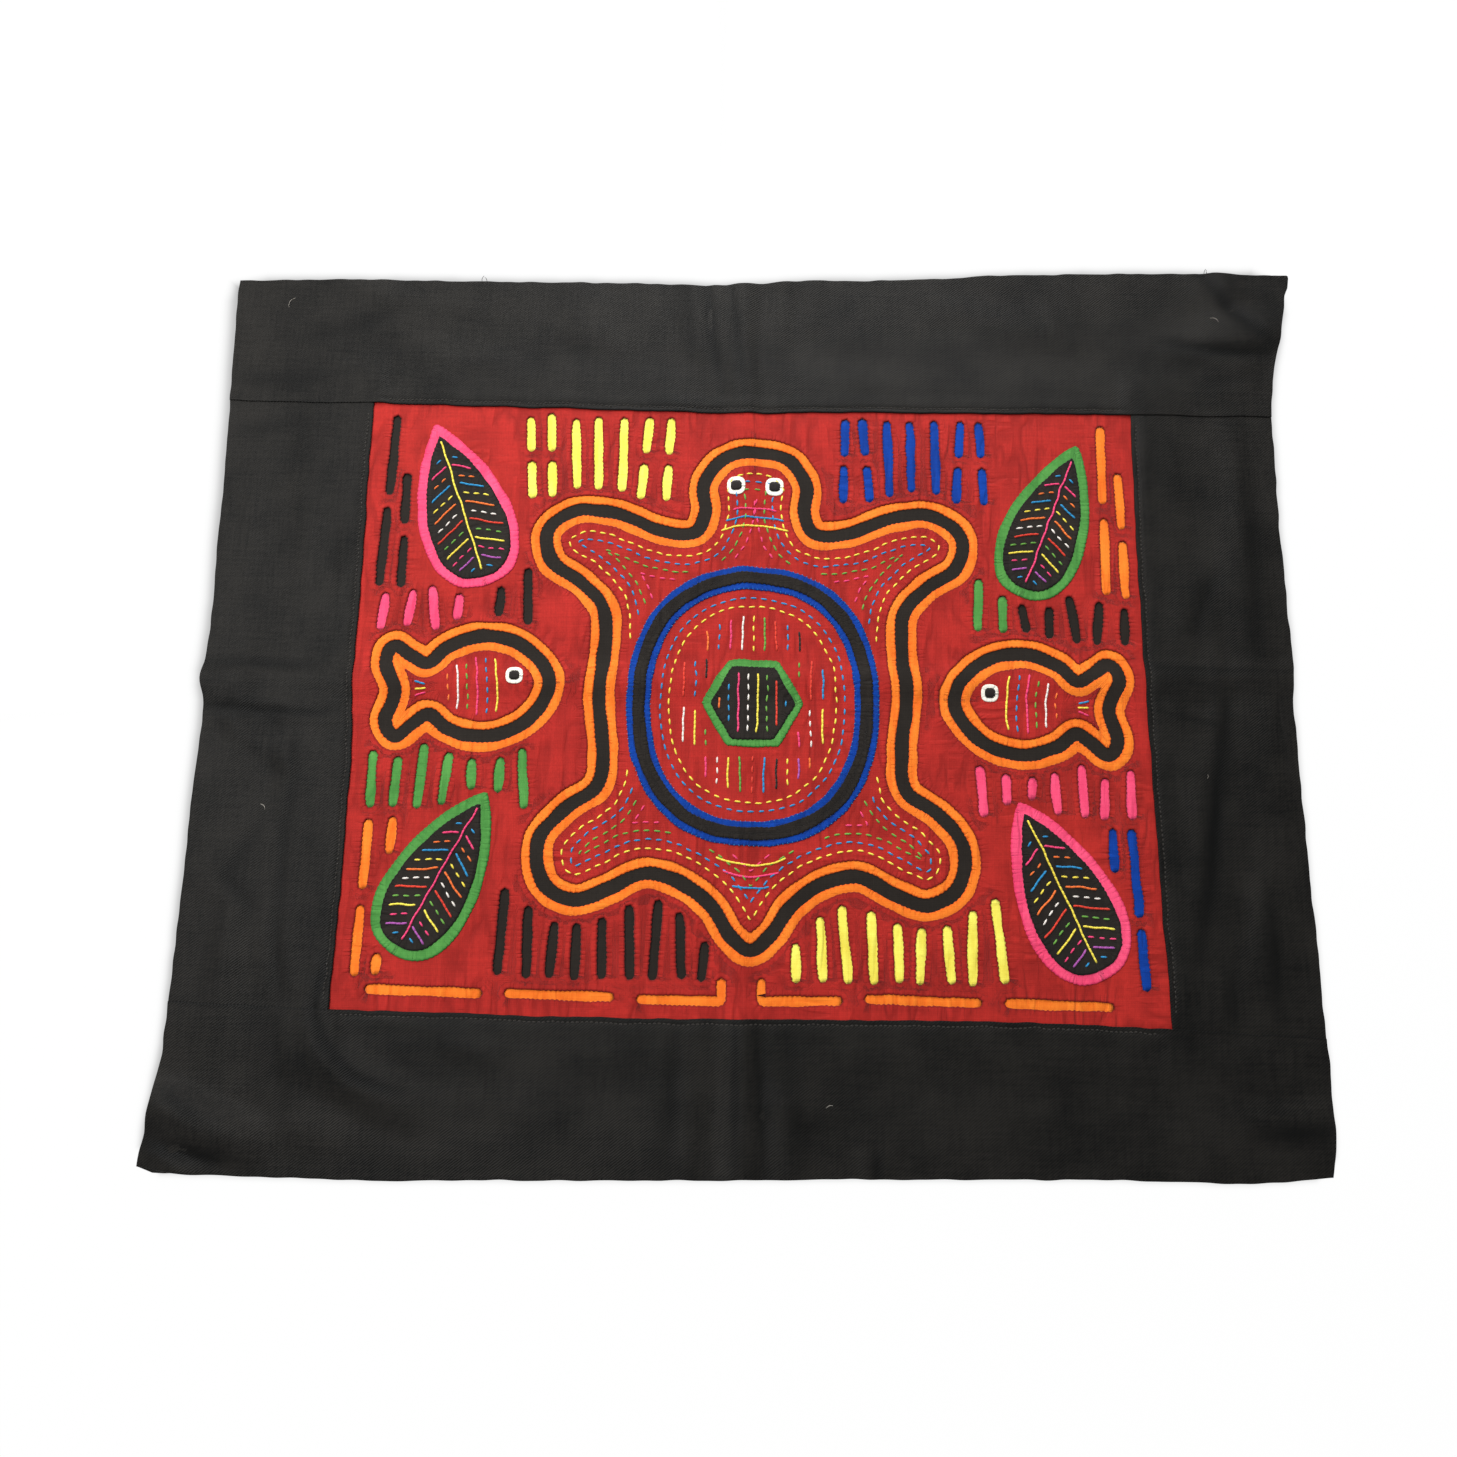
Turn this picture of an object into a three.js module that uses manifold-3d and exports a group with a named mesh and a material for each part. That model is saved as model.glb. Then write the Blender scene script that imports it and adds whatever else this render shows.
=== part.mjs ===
// A framed mola panel: layered, cut-through applique cloth let into four black border strips,
// lying on a flat surface with the soft folds of having been stored folded in four.
// Units are millimetres, +X runs along the panel's long side, +Y to its top edge and +Z is up.
// Every piece is a length of cloth: a thin sheet on the same folds, cut to its outline.
import * as THREE from "three";
import { mergeVertices } from "three/addons/utils/BufferGeometryUtils.js";
import Module from "manifold-3d";

const wasm = await Module();
wasm.setup();

// Driving sizes of the cloth, its layers and its seams.
const GAP = 0.3; // between one cloth and the next
const PLY = 0.7; // one layer of the picture's cotton
const EDGE_PLY = 0.4; // the orange cloth, which lies lower than the red
const BORDER_PLY = 1.0; // the heavier border cloth
const LAP = 9; // how far one cloth runs on under the next at a seam
const LAP_REST = 1.5; // the upper cloth stays level this far past the edge below it
const LAP_FALL = 6; // and then comes down over this length
const BAND = 4.5; // width of an orange band
const CHANNEL = 7; // width of a black channel between two orange bands
const CLEAR = GAP / 2;
const TRUE_TO = 0.16; // how near an outline's straight pieces lie to its curve

const LEVEL = {
  base: 0,
  picture: PLY + GAP,
  patch: 2 * (PLY + GAP),
  patchTop: 2 * (PLY + GAP) + EDGE_PLY + GAP,
  lap: 2 * (PLY + GAP),
};

const COLOUR = {
  black: 0x2b2826,
  ink: 0x26221f,
  red: 0xb03028,
  orange: 0xf58230,
  blue: 0x1450a8,
  green: 0x3f9a45,
  pink: 0xec4f7e,
};

// The visible seams, as the distance of each from the panel's middle at stations along it.
const TOP_SEAM = [
  { along: -300, at: 165.2 },
  { along: -209, at: 164.6 },
  { along: -75, at: 162.8 },
  { along: -9, at: 161.6 },
  { along: 35, at: 163.6 },
  { along: 208, at: 164.9 },
  { along: 310, at: 166.2 },
];
const BOTTOM_SEAM = [
  { along: -300, at: -160.0 },
  { along: -209, at: -163.1 },
  { along: -60, at: -165.2 },
  { along: 80, at: -163.9 },
  { along: 155, at: -164.2 },
  { along: 210, at: -166.2 },
  { along: 300, at: -170.0 },
];
const LEFT_SEAM = [
  { along: -180, at: -209.0 },
  { along: -94, at: -207.9 },
  { along: -31, at: -208.2 },
  { along: 6, at: -210.6 },
  { along: 85, at: -210.7 },
  { along: 120, at: -212.0 },
  { along: 180, at: -211.4 },
];
const RIGHT_SEAM = [
  { along: -180, at: 210.8 },
  { along: -102, at: 208.9 },
  { along: -8, at: 207.2 },
  { along: 90, at: 206.5 },
  { along: 180, at: 207.8 },
];

// The outer edges of the border, in the same way.
const TOP_EDGE = [
  { along: -294, at: 239.6 },
  { along: -232, at: 241.4 },
  { along: -61, at: 242.1 },
  { along: -27, at: 240.8 },
  { along: 24, at: 244.9 },
  { along: 92, at: 247.5 },
  { along: 144, at: 251.0 },
  { along: 212, at: 253.6 },
  { along: 302, at: 254.0 },
];
const BOTTOM_EDGE = [
  { along: -296, at: -238.4 },
  { along: -280, at: -241.8 },
  { along: -178, at: -243.7 },
  { along: -61, at: -241.9 },
  { along: 55, at: -239.7 },
  { along: 171, at: -237.9 },
  { along: 244, at: -239.1 },
  { along: 273, at: -236.6 },
  { along: 286, at: -235.2 },
];
const LEFT_EDGE = [
  { along: -238, at: -296.4 },
  { along: -208, at: -292.5 },
  { along: -184, at: -289.8 },
  { along: -33, at: -288.9 },
  { along: -6, at: -288.4 },
  { along: 6, at: -291.6 },
  { along: 22, at: -289.4 },
  { along: 77, at: -290.0 },
  { along: 166, at: -292.0 },
  { along: 225, at: -294.4 },
  { along: 242, at: -293.9 },
];
const RIGHT_EDGE = [
  { along: -237, at: 284.2 },
  { along: -222, at: 288.3 },
  { along: -151, at: 287.2 },
  { along: -50, at: 285.7 },
  { along: 4, at: 285.3 },
  { along: 31, at: 287.0 },
  { along: 88, at: 285.7 },
  { along: 166, at: 286.3 },
  { along: 191, at: 289.1 },
  { along: 222, at: 296.1 },
  { along: 254, at: 302.4 },
];

// Each fold is a low rounded ridge that the cloth makes from one point to the other.
// rise is its height, reach its half width, and fade the length over which an end dies away.
const FOLDS = [
  { from: [-5.5, 262], to: [-5.5, -262], rise: 1.7, reach: 12, fade: 6 }, // stored fold, upright
  { from: [-306, 9.5], to: [306, 9.5], rise: 1.6, reach: 12, fade: 6 }, // stored fold, level
  { from: [-312, 7], to: [-214, -10], rise: 1.8, reach: 14, fade: 34 }, // its pull at the left edge
  { from: [-40, 264], to: [-31, 178], rise: 1.1, reach: 11, fade: 26 }, // ripples beside the fold
  { from: [16, 264], to: [9, 180], rise: 0.9, reach: 10, fade: 26 },
  { from: [18, -184], to: [22, -262], rise: 1.0, reach: 12, fade: 24 },
  { from: [322, 224], to: [226, 211], rise: 3.4, reach: 17, fade: 40 }, // top right corner
  { from: [262, 270], to: [270, 232], rise: 1.6, reach: 10, fade: 16 },
  { from: [-318, -200], to: [-226, -233], rise: 3.8, reach: 16, fade: 34 }, // bottom left corner
  { from: [-236, -178], to: [-146, -220], rise: 2.2, reach: 16, fade: 34 },
  { from: [214, 9], to: [312, 20], rise: 0.9, reach: 13, fade: 30 }, // its slant on the right strip
  { from: [262, 150], to: [268, -146], rise: 1.3, reach: 17, fade: 60 }, // right strip's swell
  { from: [306, -206], to: [222, -213], rise: 1.6, reach: 14, fade: 32 },
  { from: [-262, 146], to: [-254, 40], rise: 1.0, reach: 18, fade: 40 }, // left strip's swell
];

// Grid lines of the cloth: close together across a fold or a seam, wide apart on flat cloth.
const FOLD_X = [-17.5, -11.5, -5.5, 0.5, 6.5];
const FOLD_Y = [-2.5, 3.5, 9.5, 15.5, 21.5];
const PANEL_X = [-1, -110, ...FOLD_X, 110, 1];
const PANEL_Y = [-1, -85, -13, ...FOLD_Y, 90, 1];
const STRIP_ENDS_X = [280, 260, 241]; // from an end of a long strip inwards, to its seam
const STRIP_MIDDLE_X = [-188, -165, -120, -52, -40, -29, ...FOLD_X, 16, 26, 80, 188];
const STRIP_Y = [-1, -146, -110, -60, -28, -13, ...FOLD_Y, 40, 86, 128, 1];
const ACROSS = [0, LAP, LAP + LAP_REST, 13.5, LAP + LAP_REST + LAP_FALL];
const CLIMB = [-7, -2.5]; // a long strip climbs onto a side strip over this part of it
const BEYOND = [0.25, 0.5, 0.75, 1]; // shares of what is left to the outer edge

// Value of an edge or seam at a station, straight between the table's rows.
function lineAt(rows, along) {
  const last = rows.length - 1;
  const i = rows.findIndex((row) => row.along >= along);
  if (i === 0) return rows[0].at;
  if (i < 0) return rows[last].at;
  const [a, b] = [rows[i - 1], rows[i]];
  return THREE.MathUtils.mapLinear(along, a.along, b.along, a.at, b.at);
}

// Height of the folds at a point: where ridges cross, the root of their squares' sum.
function foldHeight(x, y) {
  let squares = 0;
  for (const { from, to, rise, reach, fade } of FOLDS) {
    const start = new THREE.Vector2(...from);
    const run = new THREE.Vector2(...to).sub(start);
    const length = run.length();
    run.normalize();
    const offset = new THREE.Vector2(x, y).sub(start);
    const across = Math.abs(offset.cross(run)) / reach;
    const toEnd = Math.min(offset.dot(run), length - offset.dot(run));
    if (across < 1 && toEnd > 0) {
      squares += (rise * (1 - across ** 2) ** 2 * THREE.MathUtils.smoothstep(toEnd, 0, fade)) ** 2;
    }
  }
  return Math.sqrt(squares);
}

// 1 over a lap, falling smoothly to 0 past the edge of the cloth below.
function lapShare(distance) {
  return 1 - THREE.MathUtils.smoothstep(distance, LAP + LAP_REST, LAP + LAP_REST + LAP_FALL);
}

// A closed sheet over a grid: place gives a grid point's x and y, and underside its lowest z.
function clothSheet(columns, rows, place, underside, ply) {
  const [nx, ny] = [columns.length, rows.length];
  const positions = [];
  for (const thickness of [0, ply]) {
    for (let j = 0; j < ny; j++) {
      for (let i = 0; i < nx; i++) {
        const [x, y] = place(columns[i], rows[j], i, j);
        positions.push(x, y, underside(x, y) + foldHeight(x, y) + thickness);
      }
    }
  }
  const low = (i, j) => j * nx + i;
  const high = (i, j) => nx * ny + low(i, j);
  const faces = [];
  const quad = (a, b, c, d) => faces.push(a, b, c, a, c, d);
  for (let j = 0; j < ny - 1; j++) {
    for (let i = 0; i < nx - 1; i++) {
      quad(high(i, j), high(i + 1, j), high(i + 1, j + 1), high(i, j + 1));
      quad(low(i, j), low(i, j + 1), low(i + 1, j + 1), low(i + 1, j));
    }
  }
  for (let i = 0; i < nx - 1; i++) {
    quad(low(i, 0), low(i + 1, 0), high(i + 1, 0), high(i, 0));
    quad(low(i + 1, ny - 1), low(i, ny - 1), high(i, ny - 1), high(i + 1, ny - 1));
  }
  for (let j = 0; j < ny - 1; j++) {
    quad(low(nx - 1, j), low(nx - 1, j + 1), high(nx - 1, j + 1), high(nx - 1, j));
    quad(low(0, j + 1), low(0, j), high(0, j), high(0, j + 1));
  }
  const geometry = new THREE.BufferGeometry();
  geometry.setAttribute("position", new THREE.Float32BufferAttribute(positions, 3));
  geometry.setIndex(faces);
  return geometry;
}

// A closed mesh as a solid that can be cut and joined.
function solidOf(geometry) {
  geometry.deleteAttribute("normal");
  geometry.deleteAttribute("uv");
  const merged = mergeVertices(geometry, 1e-4);
  return new wasm.Manifold(
    new wasm.Mesh({
      numProp: 3,
      vertProperties: new Float32Array(merged.attributes.position.array),
      triVerts: new Uint32Array(merged.index.array),
    }),
  );
}

// A solid as a geometry for a mesh.
function geometryOf(solid) {
  const { vertProperties, triVerts } = solid.getMesh();
  const geometry = new THREE.BufferGeometry();
  geometry.setAttribute("position", new THREE.BufferAttribute(vertProperties, 3));
  geometry.setIndex(new THREE.BufferAttribute(triVerts, 1));
  geometry.computeVertexNormals();
  return geometry;
}

// The picture's cloth: a sheet to the seams and a lap beyond them, at one level of the stack.
function pictureSheet(level, ply) {
  const place = (u, v) => {
    const y0 = Math.abs(v) === 1 ? v * 165 : v;
    const x = Math.abs(u) === 1 ? lineAt(u < 0 ? LEFT_SEAM : RIGHT_SEAM, y0) + u * LAP : u;
    const y = Math.abs(v) === 1 ? lineAt(v < 0 ? BOTTOM_SEAM : TOP_SEAM, x) + v * LAP : v;
    return [x, y];
  };
  return clothSheet(PANEL_X, PANEL_Y, place, () => level, ply);
}

// A side strip of the border: side is -1 on the left and 1 on the right.
function sideStrip(side) {
  const seam = side < 0 ? LEFT_SEAM : RIGHT_SEAM;
  const edge = side < 0 ? LEFT_EDGE : RIGHT_EDGE;
  const outwards = [...ACROSS, ...BEYOND.map((share) => -share)];
  const columns = side < 0 ? outwards.reverse() : outwards;
  const place = (across, v) => {
    const y0 = Math.abs(v) === 1 ? v * 165 : v;
    const inner = lineAt(seam, y0);
    const fallen = inner + side * ACROSS[ACROSS.length - 1];
    const x = across < 0
      ? THREE.MathUtils.lerp(fallen, lineAt(edge, y0), -across)
      : inner + side * across;
    const y = Math.abs(v) === 1 ? lineAt(v < 0 ? BOTTOM_SEAM : TOP_SEAM, x) + v * LAP : v;
    return [x, y];
  };
  const underside = (x, y) => LEVEL.lap * lapShare(side * (x - lineAt(seam, y)));
  return clothSheet(columns, STRIP_Y, place, underside, BORDER_PLY);
}

// Height of what lies under the inner edge of the top or bottom strip at x.
function underlay(x, y) {
  const side = Math.sign(x);
  const seam = lineAt(side < 0 ? LEFT_SEAM : RIGHT_SEAM, THREE.MathUtils.clamp(y, -170, 170));
  const past = side * (x - seam);
  const overSide = BORDER_PLY + GAP + LEVEL.lap * lapShare(past);
  const onSide = THREE.MathUtils.smoothstep(past, ...CLIMB);
  return THREE.MathUtils.lerp(LEVEL.lap, overSide, onSide);
}

// Columns of a long strip at the height y of its seam, from its left end to its right end.
function longColumns(y) {
  const corner = [...CLIMB, ...ACROSS];
  const left = corner.map((across) => lineAt(LEFT_SEAM, y) - across).reverse();
  const right = corner.map((across) => lineAt(RIGHT_SEAM, y) + across);
  const leftEnd = [300, ...STRIP_ENDS_X].map((x) => -x);
  const rightEnd = [300, ...STRIP_ENDS_X].reverse();
  return [...leftEnd, ...left, ...STRIP_MIDDLE_X, ...right, ...rightEnd];
}

// The top strip (side 1) or the bottom strip (side -1), over the picture and the side strips.
function longStrip(side) {
  const seam = side < 0 ? BOTTOM_SEAM : TOP_SEAM;
  const columns = longColumns(side * 165);
  const edge = side < 0 ? BOTTOM_EDGE : TOP_EDGE;
  const outwards = [...ACROSS, ...BEYOND.map((share) => -share)];
  const rows = side < 0 ? outwards.reverse() : outwards;
  const last = columns.length - 1;
  const place = (x, across, i) => {
    const inner = lineAt(seam, x);
    const fallen = inner + side * ACROSS[ACROSS.length - 1];
    const y = across < 0
      ? THREE.MathUtils.lerp(fallen, lineAt(edge, x), -across)
      : inner + side * across;
    if (i === 0) return [lineAt(LEFT_EDGE, y), y];
    if (i === last) return [lineAt(RIGHT_EDGE, y), y];
    return [x, y];
  };
  const underside = (x, y) => underlay(x, y) * lapShare(side * (y - lineAt(seam, x)));
  return clothSheet(columns, rows, place, underside, BORDER_PLY);
}

// A closed smooth outline through the named points of a motif, placed, turned and sized.
function smoothOutline(points, { centre = [0, 0], turn = 0, scale = [1, 1] } = {}) {
  const curve = new THREE.CatmullRomCurve3(
    points.map(({ x, y }) => new THREE.Vector3(x * scale[0], y * scale[1], 0)),
    true,
    "catmullrom",
    0.5,
  );
  return placed(curve.getPoints(points.length * 16).slice(0, -1), centre, turn);
}

// Points turned by an angle in degrees and moved to a centre, counterclockwise.
function placed(points, centre, turn) {
  const middle = new THREE.Vector2(...centre);
  const loop = points.map(({ x, y }) =>
    new THREE.Vector2(x, y).rotateAround(new THREE.Vector2(), turn * THREE.MathUtils.DEG2RAD).add(middle),
  );
  return THREE.ShapeUtils.area(loop) < 0 ? loop.reverse() : loop;
}

// Points evenly spaced around a closed loop.
function evenly(loop, spacing) {
  const path = new THREE.CurvePath();
  loop.forEach((point, i) => path.add(new THREE.LineCurve(point, loop[(i + 1) % loop.length])));
  const count = Math.max(12, Math.round(path.getLength() / spacing));
  return Array.from({ length: count }, (_, i) => path.getPointAt(i / count));
}

// Leaves out each point that lies within TRUE_TO of the line between its kept neighbours.
function thinned(loop) {
  const keep = (a, b) => {
    const line = new THREE.Line3(toSpace(loop[a]), toSpace(loop[b % loop.length]));
    let [far, most] = [-1, TRUE_TO];
    for (let i = a + 1; i < b; i++) {
      const point = toSpace(loop[i]);
      const away = line.closestPointToPoint(point, true, new THREE.Vector3()).distanceTo(point);
      if (away > most) [far, most] = [i, away];
    }
    return far < 0 ? [loop[a]] : [...keep(a, far), ...keep(far, b)];
  };
  const half = Math.floor(loop.length / 2);
  return [...keep(0, half), ...keep(half, loop.length)];
}

function toSpace({ x, y }) {
  return new THREE.Vector3(x, y, 0);
}

// The outline moved outwards by a distance (inwards if negative), without its crossings.
function movedOut(outline, distance) {
  const dense = evenly(outline, 1);
  const count = dense.length;
  const moved = dense.map((point, i) => {
    const run = dense[(i + 1) % count].clone().sub(dense[(i + count - 1) % count]).normalize();
    return new THREE.Vector2(point.x + run.y * distance, point.y - run.x * distance);
  });
  const clear = moved.filter((point) =>
    dense.every((other) => other.distanceTo(point) > Math.abs(distance) - 0.15),
  );
  return thinned(evenly(clear, 1));
}

// An upright prism through the whole stack, inside one loop and outside another.
function prism(outer, inner) {
  const shape = new THREE.Shape(outer);
  if (inner) shape.holes.push(new THREE.Path(inner));
  const geometry = new THREE.ExtrudeGeometry(shape, { depth: 40, bevelEnabled: false });
  geometry.translate(0, 0, -10);
  return solidOf(geometry);
}

// Half of the turtle's outline, from its head to its tail.
const TURTLE_HALF = [
  { x: 0, y: 139 }, // top of the head
  { x: 18, y: 135 },
  { x: 28, y: 120 },
  { x: 27, y: 104 }, // neck
  { x: 33, y: 92 },
  { x: 51, y: 93 }, // front flipper, leading edge
  { x: 74, y: 102 },
  { x: 96, y: 104 },
  { x: 112, y: 92 }, // flipper tip
  { x: 109, y: 74 },
  { x: 92, y: 62 }, // trailing edge
  { x: 80, y: 47 },
  { x: 79, y: 24 }, // side of the body
  { x: 81, y: 0 },
  { x: 78, y: -28 },
  { x: 80, y: -48 },
  { x: 96, y: -60 }, // back flipper
  { x: 109, y: -77 },
  { x: 106, y: -98 },
  { x: 90, y: -107 },
  { x: 72, y: -101 },
  { x: 55, y: -93 },
  { x: 37, y: -97 }, // root of the tail
  { x: 21, y: -108 },
  { x: 10, y: -124 },
  { x: 0, y: -131 }, // tip of the tail
];

// Half of the fish's outline, from its nose to the notch of its tail.
const FISH_HALF = [
  { x: 48, y: 0 }, // nose
  { x: 41, y: 15 },
  { x: 25, y: 27 },
  { x: 3, y: 31 },
  { x: -17, y: 25 },
  { x: -29, y: 16 }, // wrist of the tail
  { x: -39, y: 21 },
  { x: -50, y: 28 }, // tail's corner
  { x: -56, y: 18 },
  { x: -50, y: 0 }, // notch
];

const FISHES = [
  { name: "fish_left", centre: [-147, 4], turn: 4, scale: [0.83, 0.88] },
  { name: "fish_right", centre: [146, -1], turn: -3, scale: [-0.83, 0.88] },
];

const LEAVES = [
  { name: "leaf_top_left", centre: [-160, 106], turn: 20, length: 98, width: 52, edge: "pink" },
  { name: "leaf_top_right", centre: [160, 102], turn: -21, length: 94, width: 47, edge: "green" },
  { name: "leaf_bottom_left", centre: [-158, -94], turn: -27, length: 94, width: 49, edge: "green" },
  { name: "leaf_bottom_right", centre: [158, -98], turn: 24, length: 98, width: 52, edge: "pink" },
];
const LEAF_BORDER = 5;

const SHELL = { centre: [0, -3], halfWidth: 60, halfLength: 69, squareness: 2.3, ring: 13, strip: 6.5 };
const SCUTE = { centre: [0, -3], radius: 27, border: 4.5 };

// A half outline completed by its mirror image: across is the coordinate that changes sign.
function bothSides(half, across) {
  const mirrored = half
    .slice(1, -1)
    .reverse()
    .map((point) => ({ ...point, [across]: -point[across] }));
  return [...half, ...mirrored];
}

// A leaf with a blunt base and a pointed tip: its half width is share^0.42 (1 - share)^0.82.
function leafOutline({ centre, turn, length, width }) {
  const steps = 48;
  const bulge = (share) => share ** 0.42 * (1 - share) ** 0.82;
  const widest = bulge(0.42 / (0.42 + 0.82));
  const side = Array.from({ length: steps + 1 }, (_, i) => {
    const share = (i / steps) ** 1.6;
    return { x: ((width / 2) * bulge(share)) / widest, y: length * (share - 0.5) };
  });
  return placed(bothSides(side, "x"), centre, turn);
}

// An oval between an ellipse and a rectangle.
function oval(centre, a, b, squareness) {
  const steps = 96;
  const power = 2 / squareness;
  const points = Array.from({ length: steps }, (_, i) => {
    const angle = (2 * Math.PI * i) / steps;
    const [c, s] = [Math.cos(angle), Math.sin(angle)];
    return { x: a * Math.sign(c) * Math.abs(c) ** power, y: b * Math.sign(s) * Math.abs(s) ** power };
  });
  return placed(points, centre, 0);
}

const part = new THREE.Group();

// Adds one cloth piece to the part, in its own colour.
function add(name, geometry, colour) {
  const material = new THREE.MeshStandardMaterial({ color: COLOUR[colour], roughness: 0.9, metalness: 0 });
  const mesh = new THREE.Mesh(geometry, material);
  mesh.name = name;
  part.add(mesh);
}

add("border_top", longStrip(1), "black");
add("border_bottom", longStrip(-1), "black");
add("border_left", sideStrip(-1), "black");
add("border_right", sideStrip(1), "black");
add("base_cloth", pictureSheet(LEVEL.base, PLY), "ink");

const redSheet = solidOf(pictureSheet(LEVEL.picture, PLY));
const orangeSheet = solidOf(pictureSheet(LEVEL.picture, EDGE_PLY));
const patchSheet = solidOf(pictureSheet(LEVEL.patch, EDGE_PLY));
const patchTopSheet = solidOf(pictureSheet(LEVEL.patchTop, EDGE_PLY));

// A motif cut through the red: two orange bands on either side of the black channel, and the
// red field inside. Returns what the motif takes out of the ground cloth.
function cutMotif(name, outline) {
  const half = CHANNEL / 2;
  const outerBand = prism(movedOut(outline, half + BAND - CLEAR), movedOut(outline, half));
  const innerBand = prism(movedOut(outline, -half), movedOut(outline, -half - BAND + CLEAR));
  add(`${name}_band_outer`, geometryOf(orangeSheet.intersect(outerBand)), "orange");
  add(`${name}_band_inner`, geometryOf(orangeSheet.intersect(innerBand)), "orange");
  const field = prism(movedOut(outline, -half - BAND - CLEAR));
  add(`${name}_field`, geometryOf(redSheet.intersect(field)), "red");
  return prism(movedOut(outline, half + BAND + CLEAR));
}

let ground = redSheet.subtract(cutMotif("turtle", smoothOutline(bothSides(TURTLE_HALF, "x"))));
for (const fish of FISHES) {
  ground = ground.subtract(cutMotif(fish.name, smoothOutline(bothSides(FISH_HALF, "y"), fish)));
}
add("ground_cloth", geometryOf(ground), "red");

// The ring on the shell and the black strip along the middle of it.
const shellOval = (inset) =>
  thinned(
    oval(SHELL.centre, SHELL.halfWidth + inset, SHELL.halfLength + inset, SHELL.squareness),
  );
const ring = prism(shellOval(SHELL.ring / 2), shellOval(-SHELL.ring / 2));
const strip = prism(shellOval(SHELL.strip / 2), shellOval(-SHELL.strip / 2));
add("shell_ring", geometryOf(patchSheet.intersect(ring)), "blue");
add("shell_ring_strip", geometryOf(patchTopSheet.intersect(strip)), "ink");

// The six-sided patch in the middle of the shell.
const hexagon = (radius) =>
  placed(
    Array.from({ length: 6 }, (_, i) => {
      const angle = (Math.PI * i) / 3;
      return { x: radius * Math.cos(angle), y: radius * Math.sin(angle) };
    }),
    SCUTE.centre,
    0,
  );
add("scute_edge", geometryOf(patchSheet.intersect(prism(hexagon(SCUTE.radius)))), "green");
const scuteBlade = prism(hexagon(SCUTE.radius - SCUTE.border));
add("scute_blade", geometryOf(patchTopSheet.intersect(scuteBlade)), "ink");

for (const leaf of LEAVES) {
  const outline = leafOutline(leaf);
  const whole = prism(thinned(outline));
  const blade = prism(movedOut(outline, -LEAF_BORDER));
  add(`${leaf.name}_edge`, geometryOf(patchSheet.intersect(whole)), leaf.edge);
  add(`${leaf.name}_blade`, geometryOf(patchTopSheet.intersect(blade)), "ink");
}

// The origin is the middle of the underside.
const box = new THREE.Box3().setFromObject(part);
const middle = box.getCenter(new THREE.Vector3());
part.position.set(-middle.x, -middle.y, -box.min.z);

export default part;
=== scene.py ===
"""A framed mola panel: layers of cotton cut through, turned under and sewn by hand, let into
four black border strips and lying flat with the soft folds of having been stored.

Sizes are in millimetres from the middle of the sewn picture, unless a name says otherwise:
+X runs along the long side, +Y to the top edge and +Z up out of the cloth. Points are arrays
with one row a point, and a loop is a closed line whose last point is not its first.
"""

from __future__ import annotations

import logging
from dataclasses import dataclass, field
from enum import Enum
from functools import partial
from typing import Callable, Iterable, Sequence

import bpy
import numpy as np
from mathutils import Matrix, Vector
from mathutils.geometry import delaunay_2d_cdt


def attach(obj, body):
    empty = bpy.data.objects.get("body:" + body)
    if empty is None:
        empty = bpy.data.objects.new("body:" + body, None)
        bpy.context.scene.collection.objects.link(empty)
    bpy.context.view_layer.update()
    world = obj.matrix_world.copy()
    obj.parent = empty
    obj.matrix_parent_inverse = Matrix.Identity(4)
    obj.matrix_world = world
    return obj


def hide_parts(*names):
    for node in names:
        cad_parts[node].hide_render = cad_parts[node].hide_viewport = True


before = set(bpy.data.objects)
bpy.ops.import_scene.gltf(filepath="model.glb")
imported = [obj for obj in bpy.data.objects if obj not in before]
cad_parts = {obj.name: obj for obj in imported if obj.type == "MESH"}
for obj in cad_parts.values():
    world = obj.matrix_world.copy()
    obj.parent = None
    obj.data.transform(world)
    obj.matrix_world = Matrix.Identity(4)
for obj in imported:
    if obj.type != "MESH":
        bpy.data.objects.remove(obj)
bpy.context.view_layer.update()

log = logging.getLogger("mola")

Array = np.ndarray
Socket = bpy.types.NodeSocket
Point = tuple[float, float]
Rows = tuple[Point, ...]
Triple = tuple[float, float, float]
Adder = Callable[..., Socket]

MM = 0.001
OBJECT_MIDDLE = (2.999, 5.239)  # the whole object's middle, from the picture's
PICTURE_HALF = (210.0, 165.0)  # half the sewn picture's length and height
TINY = 1e-9
STITCH_PITCH = 2.5  # of the hand stitches along a turned edge
PUCKER_PITCH = 3.2
EDGE_SPACING = 1.3  # between the points of a sewn edge
FAR_IN = 99.0  # a distance in from a cloth's edge where nothing of it shows


# Thicknesses and heights of the cloth.


@dataclass(frozen=True)
class Stack:
    """Heights of the layers above the surface that the panel lies on, and their thickness."""

    base: float = 0.7  # top of the black base cloth
    patch: float = 0.72  # underside of the cloth that shows in a slit
    patch_ply: float = 0.28
    orange: float = 0.72
    orange_ply: float = 0.42
    red: float = 1.15
    red_ply: float = 0.5
    applied: float = 1.66  # underside of a ring or leaf sewn on the red
    applied_top: float = 2.1  # underside of the black cloth on it
    applied_ply: float = 0.42
    lining: float = 0.5  # the border's lower ply
    lap: float = 1.78  # underside of the border where it laps over the picture
    border_ply: float = 0.5
    border_turned: float = 0.35  # more, where the edge is turned under


STACK = Stack()


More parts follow.
